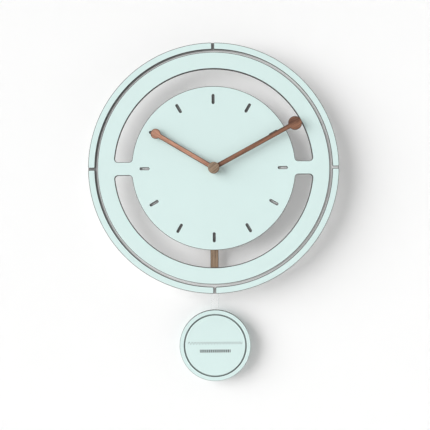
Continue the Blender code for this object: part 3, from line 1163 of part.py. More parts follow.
def make_hook(bench, swing_axis):
    """A steel plate on the rod's back, with an arm through the lever's window and a lip on it."""
    rod_top = ROD_TOP + PIVOT_DROP
    half = HOOK_HALF_WIDTH
    edge = rounded_rectangle(-half, half, rod_top - HOOK_TAIL, rod_top + HOOK_TOP_RISE, HOOK_CORNER_R)
    holes = [circle(WOOD_HOLE_R, SMALL_STEPS, (0.0, rod_top - drop)) for drop in HOOK_SCREW_DROPS]
    hook = bench.plate("rod_hook", [edge] + holes, HOOK, "steel", swing_axis)
    arm_bottom = LEVER_BOTTOM + PIVOT_DROP + LEVER_SILL + SEAT_GAP
    arm_top = arm_bottom + HOOK_ARM_HEIGHT
    lip_top = arm_bottom + HOOK_LIP_HEIGHT
    root, front = sum(HOOK) / 2, LEVER[1] + HOOK_REACH
    lip_back = front - HOOK_THICK
    side = [(root, arm_bottom), (front, arm_bottom), (front, lip_top), (lip_back, lip_top)]
    side += [(lip_back, arm_top), (root, arm_top)]
    arm = bench.plate("hook_arm", [side], (-HOOK_ARM_HALF, HOOK_ARM_HALF), "steel", swing_axis)
    arm.rotation_euler.y = -math.pi / 2
    bench.join(hook, arm)


def make_rod(bench, swing_axis):
    """The wooden rod, and the clear link that carries the bob from the rod's lower end."""
    half = ROD_WIDTH / 2
    top, bottom = ROD_TOP + PIVOT_DROP, ROD_BOTTOM + PIVOT_DROP
    spans = ((-half, half), (bottom, top), ROD)
    rod = bench.block("pendulum_rod", spans, "grey_walnut", swing_axis, ROD_BEVEL)
    link_top, link_bottom = LINK_TOP + PIVOT_DROP, LINK_BOTTOM + PIVOT_DROP
    rod_screws = [link_top - LINK_SCREW_EDGE - LINK_SCREW_PITCH * step for step in range(2)]
    bob_screws = [link_bottom + LINK_SCREW_EDGE + LINK_SCREW_PITCH * step for step in range(2)]
    hook_screws = [top - drop for drop in HOOK_SCREW_DROPS]
    wood = (ROD[0] - CUT_MARGIN, ROD[0] + WOOD_SCREW_DEPTH + SEAT_GAP)
    spots = [(0.0, y) for y in rod_screws + hook_screws]
    bench.cut(rod, bench.pegs("rod_holes", spots, WOOD_HOLE_R, wood, swing_axis))
    half = LINK_WIDTH / 2
    edge = rounded_rectangle(-half, half, link_bottom, link_top, LINK_CORNER_R)
    holes = [circle(WOOD_HOLE_R, SMALL_STEPS, (0.0, y)) for y in rod_screws + bob_screws]
    bench.plate("clear_link", [edge] + holes, LINK, "clear_plastic", swing_axis)
    make_wood_screws(bench, "hook_screw", hook_screws, HOOK[0], swing_axis)
    make_wood_screws(bench, "link_screw", rod_screws + bob_screws, LINK[0], swing_axis)
    return [(0.0, y) for y in bob_screws]


def make_wood_screws(bench, name, heights, plate_back, swing_axis):
    """Screws driven from behind through a plate into the wood in front of it."""
    sizes = (WOOD_SCREW_SHANK_R, WOOD_SCREW_HEAD_R, WOOD_SCREW_HEAD)
    depths = (plate_back - SEAT_GAP, ROD[0] + WOOD_SCREW_DEPTH)
    for number, height in enumerate(heights, start=1):
        bench.screw(f"{name}_{number}", (0.0, height), depths, sizes, swing_axis)


def make_bob(bench, swing_axis, screw_spots):
    """A backing disc with a front disc and a front ring on it, parted by a narrow groove."""
    middle = BOB_MIDDLE + PIVOT_DROP
    steps = BOARD_STEPS // 2
    back = bench.disc("bob_back", BOB_R, BOB_BACK, "mint_lacquer", swing_axis, steps)
    groove_outer = BOB_R - BOB_RING_WIDTH
    ring = bench.ring("bob_ring", (groove_outer, BOB_R), BOB_FRONT, "mint_lacquer", swing_axis, steps)
    front_r = groove_outer - BOB_GROOVE_WIDTH
    front = bench.disc("bob_disc", front_r, BOB_FRONT, "mint_lacquer", swing_axis, steps)
    for piece in (back, ring, front):
        piece.location.y = middle
    wood = (BOB_BACK[0] - CUT_MARGIN, BOB_BACK[0] + WOOD_SCREW_DEPTH + SEAT_GAP)
    bench.cut(back, bench.pegs("bob_holes", screw_spots, WOOD_HOLE_R, wood, swing_axis))


def main():
    bench = Bench()
    spots = {
        "minute": CENTRE_SPOT,
        "hour": CENTRE_SPOT,
        "centre": CENTRE_SPOT,
        "seconds": CENTRE_SPOT,
        "third": THIRD_SPOT,
        "intermediate": INTERMEDIATE_SPOT,
        "rotor": ROTOR_SPOT,
        "motion": MOTION_SPOT,
        "swing": PIVOT_SPOT,
    }
    axes = {name: bench.axis(f"{name}_axis", bench.dial, spot) for name, spot in spots.items()}
    make_face(bench)
    make_face_fixing(bench)
    make_hands(bench, axes["hour"], axes["minute"])
    make_rear_case(bench)
    make_front_cover(bench)
    make_case_screws(bench)
    make_train(bench, axes)
    make_motion_work(bench, axes)
    make_bridge(bench)
    make_motor(bench)
    make_electronics(bench)
    make_battery(bench)
    make_drive(bench, axes["swing"])
    make_hook(bench, axes["swing"])
    screw_spots = make_rod(bench, axes["swing"])
    make_bob(bench, axes["swing"], screw_spots)


main()
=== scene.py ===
"""Pendulum wall clock: the finished surfaces of its pieces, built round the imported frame.

Every piece is worked out in the dial frame and then put in the row frame: x is to the right, z is
up, and depth counts from the wall towards the viewer, so a point at depth d has y = -d. Lengths
are in metres. Pieces keep the places and the sizes of the nodes they stand for.
"""

import json
import math

import bmesh
import bpy
import numpy as np
from bpy.props import FloatProperty, FloatVectorProperty, PointerProperty
from mathutils import Matrix, Vector
from mathutils.geometry import tessellate_polygon

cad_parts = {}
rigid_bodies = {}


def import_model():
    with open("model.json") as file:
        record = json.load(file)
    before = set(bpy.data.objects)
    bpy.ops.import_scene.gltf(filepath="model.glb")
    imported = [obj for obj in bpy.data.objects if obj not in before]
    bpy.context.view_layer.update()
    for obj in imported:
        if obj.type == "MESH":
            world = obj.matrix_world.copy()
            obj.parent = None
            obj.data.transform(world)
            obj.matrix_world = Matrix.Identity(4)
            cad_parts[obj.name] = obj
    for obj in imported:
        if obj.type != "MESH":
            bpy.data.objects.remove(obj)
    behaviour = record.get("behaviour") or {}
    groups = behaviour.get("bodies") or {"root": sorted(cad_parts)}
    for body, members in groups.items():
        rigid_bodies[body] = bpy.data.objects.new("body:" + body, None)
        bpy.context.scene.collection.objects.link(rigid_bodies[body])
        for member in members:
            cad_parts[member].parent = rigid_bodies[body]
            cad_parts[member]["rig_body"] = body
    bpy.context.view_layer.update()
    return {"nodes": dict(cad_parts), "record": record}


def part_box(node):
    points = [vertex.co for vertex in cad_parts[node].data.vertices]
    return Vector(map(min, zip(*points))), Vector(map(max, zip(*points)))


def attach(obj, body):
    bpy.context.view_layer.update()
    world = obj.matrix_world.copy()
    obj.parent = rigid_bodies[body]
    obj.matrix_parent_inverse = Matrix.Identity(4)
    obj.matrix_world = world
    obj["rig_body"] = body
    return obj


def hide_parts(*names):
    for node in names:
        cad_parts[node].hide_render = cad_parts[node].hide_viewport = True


bl_info = {
    "name": "Pendulum Wall Clock",
    "version": (1, 0, 0),
    "blender": (4, 5, 0),
    "location": "3D View > Sidebar > Wall Clock",
    "description": "Builds the finished pieces of a pendulum wall clock round its frame",
    "category": "Add Mesh",
}

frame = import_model()
NODES = frame["nodes"]
SLOT_OF = {part["node"]: part["material_slot"] for part in frame["record"]["subparts"]}

MM = 0.001
TURN = math.tau
MERGE_DISTANCE = 1e-7
WELD_DISTANCE = 1e-6
FLAT_ANGLE = math.radians(1)
BEVEL_ANGLE = math.radians(40)
SHARP_ANGLE = math.radians(50)
BOARD_STEPS = 360
CORNER_STEPS = 8
EDGE_ATTRIBUTE = "cut_edge"  # 1 on a piece's cut sides, 0 on its faces


# ---- Places read from the frame ----


def low(node):
    return np.array(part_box(node)[0])


def high(node):
    return np.array(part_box(node)[1])


def depths(node):
    """A node's (back, front) as depths from the wall."""
    return -high(node)[1], -low(node)[1]


def middle(node):
    """The middle of a node in the dial frame: right and up."""
    centre = (low(node) + high(node)) / 2
    return centre[[0, 2]]


def half_size(node):
    """Half of a node's size to the right, in depth and upwards."""
    return (high(node) - low(node)) / 2


# ---- Sizes and colours a user would change ----


def length(name, description, millimetres):
    texts = {"name": name, "description": description}
    return FloatProperty(**texts, default=millimetres * MM, subtype="DISTANCE", unit="LENGTH")


def angle(name, description, degrees):
    texts = {"name": name, "description": description}
    return FloatProperty(**texts, default=math.radians(degrees), subtype="ANGLE", unit="ROTATION")


def colour(name, description, *shade):
    texts = {"name": name, "description": description}
    return FloatVectorProperty(**texts, default=shade, subtype="COLOR", min=0.0, max=1.0)


def share(name, description, value):
    texts = {"name": name, "description": description}
    return FloatProperty(**texts, default=value, min=0.0, max=1.0, subtype="FACTOR")


class ClockFaceSizes(bpy.types.PropertyGroup):
    groove: length("Groove", "Width of the groove between the face and the rim", 3.2)
    rim_split: length("Rim split", "Gap between two quarters of the rim", 2.4)
    band: length("Band", "Width of the band outside the two long cut-outs", 19.8)
    cut: length("Cut-out", "Width of the two long cut-outs", 21.0)
    cut_corner: length("Cut-out corner", "Corner radius of the two long cut-outs", 4.0)
    bridge: length("Bridge", "Height of the bridges between the cut-outs", 16.0)
    mark_length: length("Hour mark length", "Length of an hour mark's slot", 10.8)
    mark_width: length("Hour mark width", "Width of an hour mark's slot", 2.4)
    mark_inset: length("Hour mark inset", "From the disc's edge to an hour mark", 10.0)
    hole: length("Centre hole", "Radius of the hole for the threaded bush", 4.3)
    arris: length("Arris", "How far the boards' sharp edges are eased", 0.22)
    lip: length("Lip", "Strip beside each edge in which the laser's scorch fades", 0.85)


class ClockHandSizes(bpy.types.PropertyGroup):
    hour_angle: angle("Hour hand", "Clockwise from twelve", 300.9)
    hour_reach: length("Hour reach", "From the arbor to the middle of the tip", 80.0)
    hour_bar: length("Hour bar", "Width of the hour hand's bar", 5.6)
    hour_tip: length("Hour tip", "Radius of the hour hand's tip", 6.0)
    minute_angle: angle("Minute hand", "Clockwise from twelve", 61.7)
    minute_reach: length("Minute reach", "From the arbor to the middle of the tip", 110.0)
    minute_bar: length("Minute bar", "Width of the minute hand's bar", 5.5)
    minute_tip: length("Minute tip", "Radius of the minute hand's tip", 8.2)
    hub: length("Hub", "Radius of a hand's hub", 6.8)
    arris: length("Arris", "How far the wood's edges are rounded", 0.35)
    lip: length("Lip", "Strip beside each edge in which the laser's scorch fades", 0.85)
    crown: length("Crown", "How far the cap's face is domed", 0.45)


class ClockBobSizes(bpy.types.PropertyGroup):
    groove: length("Groove", "Width of the groove round the bob's disc", 1.0)
    ring: length("Ring", "Width of the bob's outer ring", 5.2)
    upper_line: length("Upper line", "Height of the fine printed scroll above the middle", 3.0)
    upper_half: length("Upper half", "Half of the fine scroll's length", 33.0)
    upper_pitch: length("Upper pitch", "From one wave of the scroll to the next", 3.6)
    upper_swing: length("Upper swing", "How far the scroll rises and falls", 1.25)
    lower_line: length("Lower line", "Height of the bold printed row from the middle", -6.7)
    lower_half: length("Lower half", "Half of the bold row's length", 18.6)
    lower_pitch: length("Lower pitch", "From one bold bar to the next", 2.3)
    lower_height: length("Lower height", "Half the height of a bold bar", 1.8)


class ClockColours(bpy.types.PropertyGroup):
    mint: colour("Mint lacquer", "Colour of the face, the rim and the bob", 0.650, 0.800, 0.780)
    board: colour("Backing board", "Colour of the grey backing board", 0.800, 0.810, 0.805)
    scorch: colour("Cut edge", "Colour of the boards' laser-cut sides", 0.055, 0.050, 0.050)
    wood_scorch: colour("Wood's cut edge", "Colour of the wood's laser-cut sides", 0.085, 0.050, 0.033)
    hour_light: colour("Hour hand light", "Light figure of the hour hand", 0.560, 0.290, 0.195)
    hour_dark: colour("Hour hand dark", "Dark figure of the hour hand", 0.270, 0.125, 0.080)
    minute_light: colour("Minute hand light", "Light figure of the minute hand", 0.300, 0.140, 0.082)
    minute_dark: colour("Minute hand dark", "Dark figure of the minute hand", 0.100, 0.040, 0.024)
    rod_light: colour("Rod light", "Light figure of the rod and the cap", 0.500, 0.360, 0.245)
    rod_dark: colour("Rod dark", "Dark figure of the rod and the cap", 0.215, 0.140, 0.090)
    ink: colour("Ink", "Colour of the bob's printed ornament", 0.130, 0.150, 0.150)
    wrap: colour("Cell wrap", "Colour of the cell's printed sleeve", 0.020, 0.110, 0.160)


class ClockStage(bpy.types.PropertyGroup):
    distance: length("Camera distance", "From the camera to the face", 950.0)
    field: length("Field", "Width that the camera takes in at the face", 513.8)
    aim_right: length("Aim right", "Where the camera's axis meets the face", 1.1)
    aim_up: length("Aim up", "Where the camera's axis meets the face", -56.0)
    roll: angle("Roll", "How far the camera is turned about its axis", 0.5)
    key_spread: angle("Key spread", "How wide the main soft light is, seen from the clock", 50.0)
    key_strength: FloatProperty(name="Key strength", description="Strength of the main light", default=2.9)
    floor_drop: length("Floor", "How far the floor lies below the arbor", 620.0)
    sky: share("Sky", "Strength of the even light from all round", 0.40)


GROUPS = {
    "clock_face": ClockFaceSizes,
    "clock_hands": ClockHandSizes,
    "clock_bob": ClockBobSizes,
    "clock_colours": ClockColours,
    "clock_stage": ClockStage,
}


# ---- Outlines and sections, as arrays of points ----


def unit(vectors):
    return vectors / np.linalg.norm(vectors, axis=-1, keepdims=True)


def distinct(points):
    """The points that don't lie on the one before them."""
    step = np.linalg.norm(points - np.roll(points, 1, 0), axis=1)
    return points[step > MERGE_DISTANCE]


def arc(centre, radius, start, end, steps):
    """Points centre + radius * (cos a, sin a), with the angle a running evenly from start to end."""
    angles = np.linspace(start, end, steps + 1)
    return np.column_stack((centre[0] + radius * np.cos(angles), centre[1] + radius * np.sin(angles)))


def circle(radius, steps=96, centre=(0.0, 0.0)):
    """A full circle, anticlockwise. Reversed, it is the edge of a hole."""
    return arc(centre, radius, 0.0, TURN, steps)[:-1]


def soften(points, reach, steps=4):
    """A closed outline with each corner P eased. The corner becomes the parabola
    P + (1 - t)^2 * reach * U + t^2 * reach * V for t from 0 to 1, where U and V are the directions
    of its two sides. The reach is one length, or one for each corner."""
    points = np.asarray(points, float)
    back, on = unit(np.roll(points, 1, 0) - points), unit(np.roll(points, -1, 0) - points)
    reach = np.broadcast_to(np.asarray(reach, float), len(points))[:, None, None]
    t = np.linspace(0.0, 1.0, steps + 1)[:, None]
    made = points[:, None] + reach * ((1 - t) ** 2 * back[:, None] + t**2 * on[:, None])
    return distinct(made.reshape(-1, points.shape[1]))


def section(points, reach, steps=4):
    """An open path across an edge, with its inner corners eased and its two ends kept."""
    points = np.asarray(points, float)
    reaches = np.full(len(points), float(reach))
    reaches[[0, -1]] = 0.0
    return soften(points, reaches, steps)


def inset(outline, distances):
    """The outline moved into the material by each distance, as an array (distances, points, 2).
    A point moves along (A + B) / (1 + A . B), where A and B are the unit normals of its two sides,
    so that both sides move by the same distance."""
    ahead = unit(np.roll(outline, -1, 0) - outline)
    normals = np.column_stack((ahead[:, 1], -ahead[:, 0]))
    before = np.roll(normals, 1, 0)
    mitre = (normals + before) / (1 + (normals * before).sum(1, keepdims=True))
    return outline[None] - np.asarray(distances)[:, None, None] * mitre[None]


def rectangle(west, east, south, north):
    return np.array([(east, south), (east, north), (west, north), (west, south)], float)


def turned_outline(outline, clockwise):
    """The outline turned clockwise about the arbor."""
    c, s = math.cos(clockwise), math.sin(clockwise)
    return outline @ np.array(((c, -s), (s, c)))


def spun(reach, along, angles, centre, along_x=False):
    """The points centre + reach * (cos a, sin a), at their distances along an axis. The axis runs
    towards the viewer, or to the right if along_x is set."""
    across = centre[0] + reach * np.cos(angles)
    up = centre[1] + reach * np.sin(angles)
    along = np.broadcast_to(along, across.shape)
    return np.stack((along, across, up) if along_x else (across, -along, up), -1)


# ---- Shells ----


class Shell:
    """One piece's surface, gathered from rows of points that are joined into closed bands."""

    def __init__(self):
        self.points, self.marks, self.faces = [], [], []
        self.total = 0

    def rows(self, grid, marks):
        """Adds a grid of points (rows, columns, 3) with a cut-edge value for each row, and returns
        the grid of their indices."""
        count = grid.shape[0] * grid.shape[1]
        ids = np.arange(self.total, self.total + count).reshape(grid.shape[:2])
        self.points.append(grid.reshape(-1, 3))
        self.marks.append(np.repeat(np.broadcast_to(marks, grid.shape[0]), grid.shape[1]))
        self.total += count
        return ids

    def band(self, grid, marks=0.0, closed=False):
        """Joins neighbouring rows with quads. Each row closes on itself, and a closed band also
        joins its last row to its first."""
        ids = self.rows(grid, marks)
        top = ids if closed else ids[:-1]
        bottom = np.roll(ids, -1, 0) if closed else ids[1:]
        quads = np.stack((top, np.roll(top, -1, 1), np.roll(bottom, -1, 1), bottom), -1)
        self.faces += quads.reshape(-1, 4).tolist()
        return ids

    def fill(self, rows):
        """Closes the flat region inside the first row of indices and outside the others."""
        points = np.concatenate(self.points)
        loops = [points[row].tolist() for row in rows]
        triangles = np.array(tessellate_polygon(loops))
        self.faces += np.concatenate(rows)[triangles].tolist()

    def sweep(self, outline, profile, cut_below):
        """Carries a profile of (inset, depth) points along an outline. Points whose inset is less
        than cut_below count as the piece's cut side."""
        moved = inset(outline, profile[:, 0])
        y = np.broadcast_to(-profile[:, 1, None], moved.shape[:2])
        grid = np.stack((moved[..., 0], y, moved[..., 1]), -1)
        return self.band(grid, (profile[:, 0] < cut_below).astype(float))

    def turn(self, profile, centre, steps=96, closed=False, marks=0.0, along_x=False):
        """Turns a profile of (radius, distance) points about an axis through the centre."""
        angles = np.linspace(0.0, TURN, steps, endpoint=False)
        grid = spun(profile[:, :1], profile[:, 1:], angles, centre, along_x)
        return self.band(grid, marks, closed)

    def mesh(self, name):
        """The gathered faces as one mesh: coincident points merged, and every face pointing out."""
        made = bpy.data.meshes.new(name)
        made.from_pydata(np.concatenate(self.points), [], self.faces)
        attribute = made.attributes.new(EDGE_ATTRIBUTE, "FLOAT", "POINT")
        attribute.data.foreach_set("value", np.concatenate(self.marks).astype(np.float32))
        body = bmesh.new()
        body.from_mesh(made)
        bmesh.ops.remove_doubles(body, verts=body.verts, dist=MERGE_DISTANCE)
        bmesh.ops.recalc_face_normals(body, faces=body.faces)
        body.to_mesh(made)
        body.free()
        made.shade_smooth()
        made.set_sharp_from_angle(angle=SHARP_ANGLE)
        return made


def turned(profile, centre=(0.0, 0.0), steps=96, **ways):
    """A piece turned about an axis from one profile."""
    shell = Shell()
    shell.turn(profile, centre, steps, **ways)
    return shell


def plate(outlines, layer, arris, lip):
    """A flat piece between two depths. The first outline runs anticlockwise round the material and
    the others clockwise round its holes. Across every edge runs the path (lip, front), (0, front),
    (0, back), (lip, back), as insets and depths, with its two corners eased."""
    back, front = layer
    profile = section([(lip, front), (0.0, front), (0.0, back), (lip, back)], arris)
    shell = Shell()
    edges = [shell.sweep(outline, profile, arris * 1.01) for outline in outlines]
    shell.fill([rows[0] for rows in edges])
    shell.fill([rows[-1] for rows in edges])
    return shell


def tube(path, radii, sides=10):
    """A round wire along a path of points. With T the path's direction and R the direction from
    its axis, the wire's skin is path + radius * (cos a * R + sin a * T x R). A radius that falls to
    0 at both ends closes it."""
    line = unit(np.gradient(path, axis=0))
    outward = path - path.mean(0)
    outward[:, 0] = 0.0
    outward = unit(outward - (outward * line).sum(1, keepdims=True) * line)
    side = np.cross(line, outward)
    angles = np.linspace(0.0, TURN, sides, endpoint=False)[:, None]
    skin = np.cos(angles) * outward[:, None] + np.sin(angles) * side[:, None]
    shell = Shell()
    shell.band(path[:, None] + radii[:, None, None] * skin)
    return shell


def add(name, data):
    """A new object in the scene."""
    made = bpy.data.objects.new(name, data)
    bpy.context.scene.collection.objects.link(made)
    return made


def place(name, shell, finish_name, *nodes):
    """Makes the shell a piece that stands for the nodes, rides on their body and takes a finish."""
    piece = add(name, shell.mesh(name))
    piece.data.materials.append(finish(finish_name))
    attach(piece, NODES[nodes[0]]["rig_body"])
    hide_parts(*nodes)
    return piece


# ---- Shader maths ----


def arithmetic(operation, flipped=False):
    """A method that joins two values by a Math node's operation."""

    def act(self, other):
        return self.maths(operation, *((other, self) if flipped else (self, other)))

    return act


def alone(operation):
    """A method that puts one value through a Math node's operation."""
    return lambda self: self.maths(operation, self)


class Wire:
    """A value in a material's nodes. Arithmetic with other values adds Math nodes."""

    def __init__(self, finish, socket):
        self.finish, self.socket = finish, socket

    def out(self, key):
        """Another output of the node that the value comes from, by name or number."""
        return Wire(self.finish, self.socket.node.outputs[key])

    def maths(self, operation, *values, clamp=False):
        settings = {"operation": operation, "use_clamp": clamp}
        return self.finish.node("ShaderNodeMath", settings, dict(enumerate(values)))

    __add__ = __radd__ = arithmetic("ADD")
    __sub__ = arithmetic("SUBTRACT")
    __rsub__ = arithmetic("SUBTRACT", flipped=True)
    __mul__ = __rmul__ = arithmetic("MULTIPLY")
    __truediv__ = arithmetic("DIVIDE")
    __lt__ = arithmetic("LESS_THAN")
    __gt__ = arithmetic("GREATER_THAN")
    __abs__ = alone("ABSOLUTE")
    larger = arithmetic("MAXIMUM")
    rounded = alone("ROUND")
    root = alone("SQRT")
    sine = alone("SINE")

    def strayed(self, pitch):
        """How far the value lies from the nearest multiple of a pitch, as a share of the pitch."""
        steps = self / pitch
        return abs(steps - steps.rounded())

    def rise(self, start, end):
        """0 below start, 1 above end, and straight between them."""
        return self.maths("MULTIPLY", self - start, 1.0 / (end - start), clamp=True)


FINISH_NAMES = {}  # each finish's name in the file, by the name it is asked for


class Finish:
    """A material with a Principled shader, and short ways to make the nodes that feed it. Its place
    is the piece's own coordinates, turned so that +Z runs at an angle clockwise from twelve."""

    def __init__(self, name, clockwise=0.0):
        self.material = bpy.data.materials.new(name)
        self.material.use_nodes = True
        self.tree = self.material.node_tree
        self.shader = self.tree.nodes["Principled BSDF"]
        at = self.node("ShaderNodeTexCoord").out("Object")
        turn = {"Vector": at, "Rotation": (0.0, -clockwise, 0.0)}
        self.place = self.node("ShaderNodeMapping", (), turn)
        FINISH_NAMES[name] = self.material.name

    def node(self, kind, settings=(), sockets=()):
        """Adds a node of a kind, with its settings made first and then its sockets' values or
        links, and returns its first output."""
        made = self.tree.nodes.new(kind)
        for key, value in dict(settings).items():
            setattr(made, key, value)
        for key, value in dict(sockets).items():
            self.join(made.inputs[key], value)
        return Wire(self, made.outputs[0])

    def join(self, socket, value):
        if isinstance(value, Wire):
            self.tree.links.new(value.socket, socket)
        else:
            socket.default_value = value

    def set(self, **values):
        """Sets the shader's sockets: base_color means Base Color, and so on."""
        for key, value in values.items():
            name = key.replace("_", " ").title().replace("Ior", "IOR")
            self.join(self.shader.inputs[name], value)
        return self.material

    def axes(self):
        """The x, y and z of the place as three values."""
        split = self.node("ShaderNodeSeparateXYZ", (), {0: self.place})
        return split, split.out(1), split.out(2)

    def noise(self, frequency, detail=2.0, distortion=0.0):
        """Noise from 0 to 1 with so many features a metre, alike every way or along x, y and z."""
        rates = frequency if isinstance(frequency, tuple) else (frequency,) * 3
        stretch = {0: self.place, 1: rates}
        where = self.node("ShaderNodeVectorMath", {"operation": "MULTIPLY"}, stretch)
        sockets = {"Vector": where, "Scale": 1.0, "Detail": detail, "Distortion": distortion}
        return self.node("ShaderNodeTexNoise", (), sockets).out("Fac")

    def mix(self, factor, first, second):
        """The first colour at factor 0 and the second at 1."""
        settings = {"data_type": "RGBA", "clamp_factor": True}
        sockets = {0: factor, 6: rgba(first), 7: rgba(second)}
        return self.node("ShaderNodeMix", settings, sockets).out(2)

    def vary(self, factor, shade, darker, lighter):
        """One colour, made darker at factor 0 and lighter at 1."""
        return self.mix(factor, scaled(shade, darker), scaled(shade, lighter))

    def edge(self):
        """The piece's cut-edge value."""
        return self.node("ShaderNodeAttribute", {"attribute_name": EDGE_ATTRIBUTE}).out("Fac")

    def bump(self, height, distance, strength=1.0):
        sockets = {"Height": height, "Distance": distance, "Strength": strength}
        return self.node("ShaderNodeBump", (), sockets)


def rgba(value):
    return value if isinstance(value, Wire) else (*tuple(value)[:3], 1.0)


def scaled(shade, factor):
    """A colour made lighter or darker."""
    return tuple(min(1.0, part * factor) for part in tuple(shade)[:3])


# ---- Finishes ----


def scorched(made, surface, wood=False):
    """The surface's colour with the dark of a laser-cut side on its cut edges. Fine upright streaks
    vary the dark, as the beam leaves them."""
    colours = bpy.context.scene.clock_colours
    streaks = made.noise((1400.0, 120.0, 1400.0))
    scorch = colours.wood_scorch if wood else colours.scorch
    burnt = made.vary(streaks, scorch, 0.5, 1.7)
    return made.mix(made.edge().rise(0.28, 0.52), surface, burnt)


def mint_lacquer(name="mint_lacquer", ornament=None):
    """Satin lacquer: an even mint with a very soft cloudiness and the fine waviness of a sprayed
    coat."""
    colours = bpy.context.scene.clock_colours
    made = Finish(name)
    cloud = made.noise(14.0)
    speck = made.noise(2600.0, 1.0)
    mint = made.vary(cloud, colours.mint, 0.972, 1.022)
    mint = made.mix(speck.rise(0.66, 0.80) * 0.12, mint, scaled(colours.mint, 0.80))
    if ornament:
        mint = made.mix(ornament(made), mint, colours.ink)
    peel = made.noise(620.0)
    edge = made.edge()
    return made.set(
        base_color=scorched(made, mint),
        roughness=0.36 + cloud * 0.10 + edge * 0.35,
        specular_ior_level=0.42,
        coat_weight=(1.0 - edge) * 0.12,
        coat_roughness=0.22,
        normal=made.bump(peel, 0.00002, 0.55),
    )


def board_painted_shade(made):
    """Painted shade on the backing board's front: dark under the hour marks near twelve and six, and
    along the groove's outer side at the upper left, where shadow falls."""
    across, depth, up = made.axes()
    reach = (across * across + up * up).root()
    groove = high("face_board")[0]
    outside = reach.rise(groove + 0.9 * MM, groove + 1.9 * MM) * (reach < high("rim_arc_1")[0])
    upper_left = ((up * 0.6 - across * 0.8) / reach).rise(0.0, 0.7)
    upright = (abs(up) / reach).rise(0.3, 0.9)
    under_marks = upright * (reach < face_radii()[2])
    on_front = depth < low("back_board")[1] + 0.2 * MM
    # painted shadow: the groove's upper left and the upright hour marks, which their walls shade from the
    # key light
    return on_front * (outside * upper_left * 0.7 + under_marks * 0.68)


def grey_board():
    """Raw fibreboard: a light grey face with pressed fibres, patches of painted shade and dark cut sides.
    """
    colours = bpy.context.scene.clock_colours
    made = Finish("grey_board")
    fibres = made.noise((420.0, 420.0, 2600.0), 3.0, 0.6)
    chips = made.noise(1500.0, 3.0)
    face = made.vary(fibres, colours.board, 0.86, 1.14)
    face = made.mix(chips.rise(0.60, 0.78) * 0.5, face, scaled(colours.board, 0.62))
    # painted shade: the cut-edge colour laid where shadow falls on the board's front
    face = made.mix(board_painted_shade(made), face, colours.scorch)
    return made.set(
        base_color=scorched(made, face),
        roughness=0.68 + fibres * 0.2,
        specular_ior_level=0.25,
        normal=made.bump(chips + fibres, 0.00006, 0.6),
    )


def walnut(name, light, dark, clockwise):
    """Oiled wood whose grain runs along a direction. Broad figure, fine fibres and dark pores are
    noises drawn out along the grain, and the cut sides are scorched brown."""
    made = Finish(name, clockwise)
    figure = made.noise((430.0, 430.0, 13.0), 2.0, 0.9)
    fibres = made.noise((1500.0, 1500.0, 34.0), 4.0)
    pores = made.noise((3400.0, 3400.0, 150.0), 1.0).rise(0.60, 0.72)
    tone = (figure * 1.8 + fibres * 1.1).rise(1.15, 1.75)
    wood = made.mix(tone, dark, light)
    wood = made.mix(pores * 0.7, wood, scaled(dark, 0.40))
    return made.set(
        base_color=scorched(made, wood, wood=True),
        roughness=0.46 + pores * 0.25 + fibres * 0.08,
        specular_ior_level=0.40,
        coat_weight=0.06,
        coat_roughness=0.35,
        normal=made.bump(fibres * 0.5 - pores, 0.00006, 0.8),
    )


def moulded(name, shade, roughness, grain=3200.0, depth=0.00003):
    """Moulded plastic or rubber with an even spark-eroded grain and slight flow clouds."""
    made = Finish(name)
    cloud = made.noise(60.0)
    pits = made.noise(grain)
    return made.set(
        base_color=made.vary(cloud, shade, 0.85, 1.15),
        roughness=(roughness - 0.07) + pits * 0.14,
        specular_ior_level=0.45,
        normal=made.bump(pits, depth, 0.7),
    )


def metal(name, shade, roughness, tarnish, brushing=(2600.0, 260.0, 2600.0)):
    """Bright metal with fine tool marks, and a faint tarnish in broad clouds."""
    made = Finish(name)
    marks = made.noise(brushing)
    cloud = made.noise(340.0, 3.0).rise(0.45, 0.75)
    return made.set(
        base_color=made.mix(cloud, shade, tarnish),
        metallic=1.0 - cloud * 0.15,
        roughness=(roughness - 0.06) + marks * 0.14 + cloud * 0.12,
        normal=made.bump(marks, 0.00002, 0.5),
    )


def clear_acrylic():
    """Clear sheet: its faces let the light through, and its polished cut sides catch it."""
    made = Finish("clear_plastic")
    haze = made.noise(240.0)
    edge = made.edge()
    return made.set(
        base_color=made.mix(edge, (0.93, 0.97, 0.97), (0.70, 0.86, 0.85)),
        roughness=0.04 + haze * 0.05,
        alpha=0.035 + haze * 0.02 + edge * 0.10,
        normal=made.bump(haze, 0.00001, 0.3),
    )


def engraved_case():
    """The case's moulded black, with marks sunk into its back: a ring with two pointers about the
    knob, a plus and a minus sign under the cell's ends, and the outline of a plain panel."""
    made = Finish("engraved_plastic")
    x, y, z = made.axes()
    knob_x, knob_z = middle("setting_knob")
    stroke, ring_radius, sign = 0.28 * MM, 8.6 * MM, 1.7 * MM
    panel_side, panel_rise, panel_drop = 19.5 * MM, 13.0 * MM, 20.5 * MM
    right, up = x - knob_x, z - knob_z
    reach = (right * right + up * up).root()
    ring = abs(reach - ring_radius) < stroke
    pointer = abs(abs(right) - ring_radius) / 1.5 + abs(up) / 2.2 < MM
    bay = low("battery")[2] - 4.6 * MM
    ends = middle("battery")[0] + half_size("battery")[0] - 3.0 * MM
    level = (abs(z - bay) < stroke) * (abs(abs(x) - ends) < sign)
    upright = (abs(x - ends) < stroke) * (abs(z - bay) < sign)
    wide, tall = abs(x) - panel_side, abs(z + panel_drop) - panel_rise
    panel = abs(wide.larger(tall)) < stroke
    on_back = y > -0.2 * MM
    marks = (ring + pointer + level + upright + panel).rise(0.0, 1.0) * on_back
    cloud = made.noise(60.0)
    pits = made.noise(3200.0)
    black = made.mix(cloud, (0.028, 0.028, 0.029), (0.038, 0.038, 0.039))
    return made.set(
        base_color=made.mix(marks, black, (0.075, 0.075, 0.077)),
        roughness=0.42 + pits * 0.14 - marks * 0.12,
        specular_ior_level=0.45,
        normal=made.bump(pits * 0.12 - marks, 0.00025, 0.7),
    )


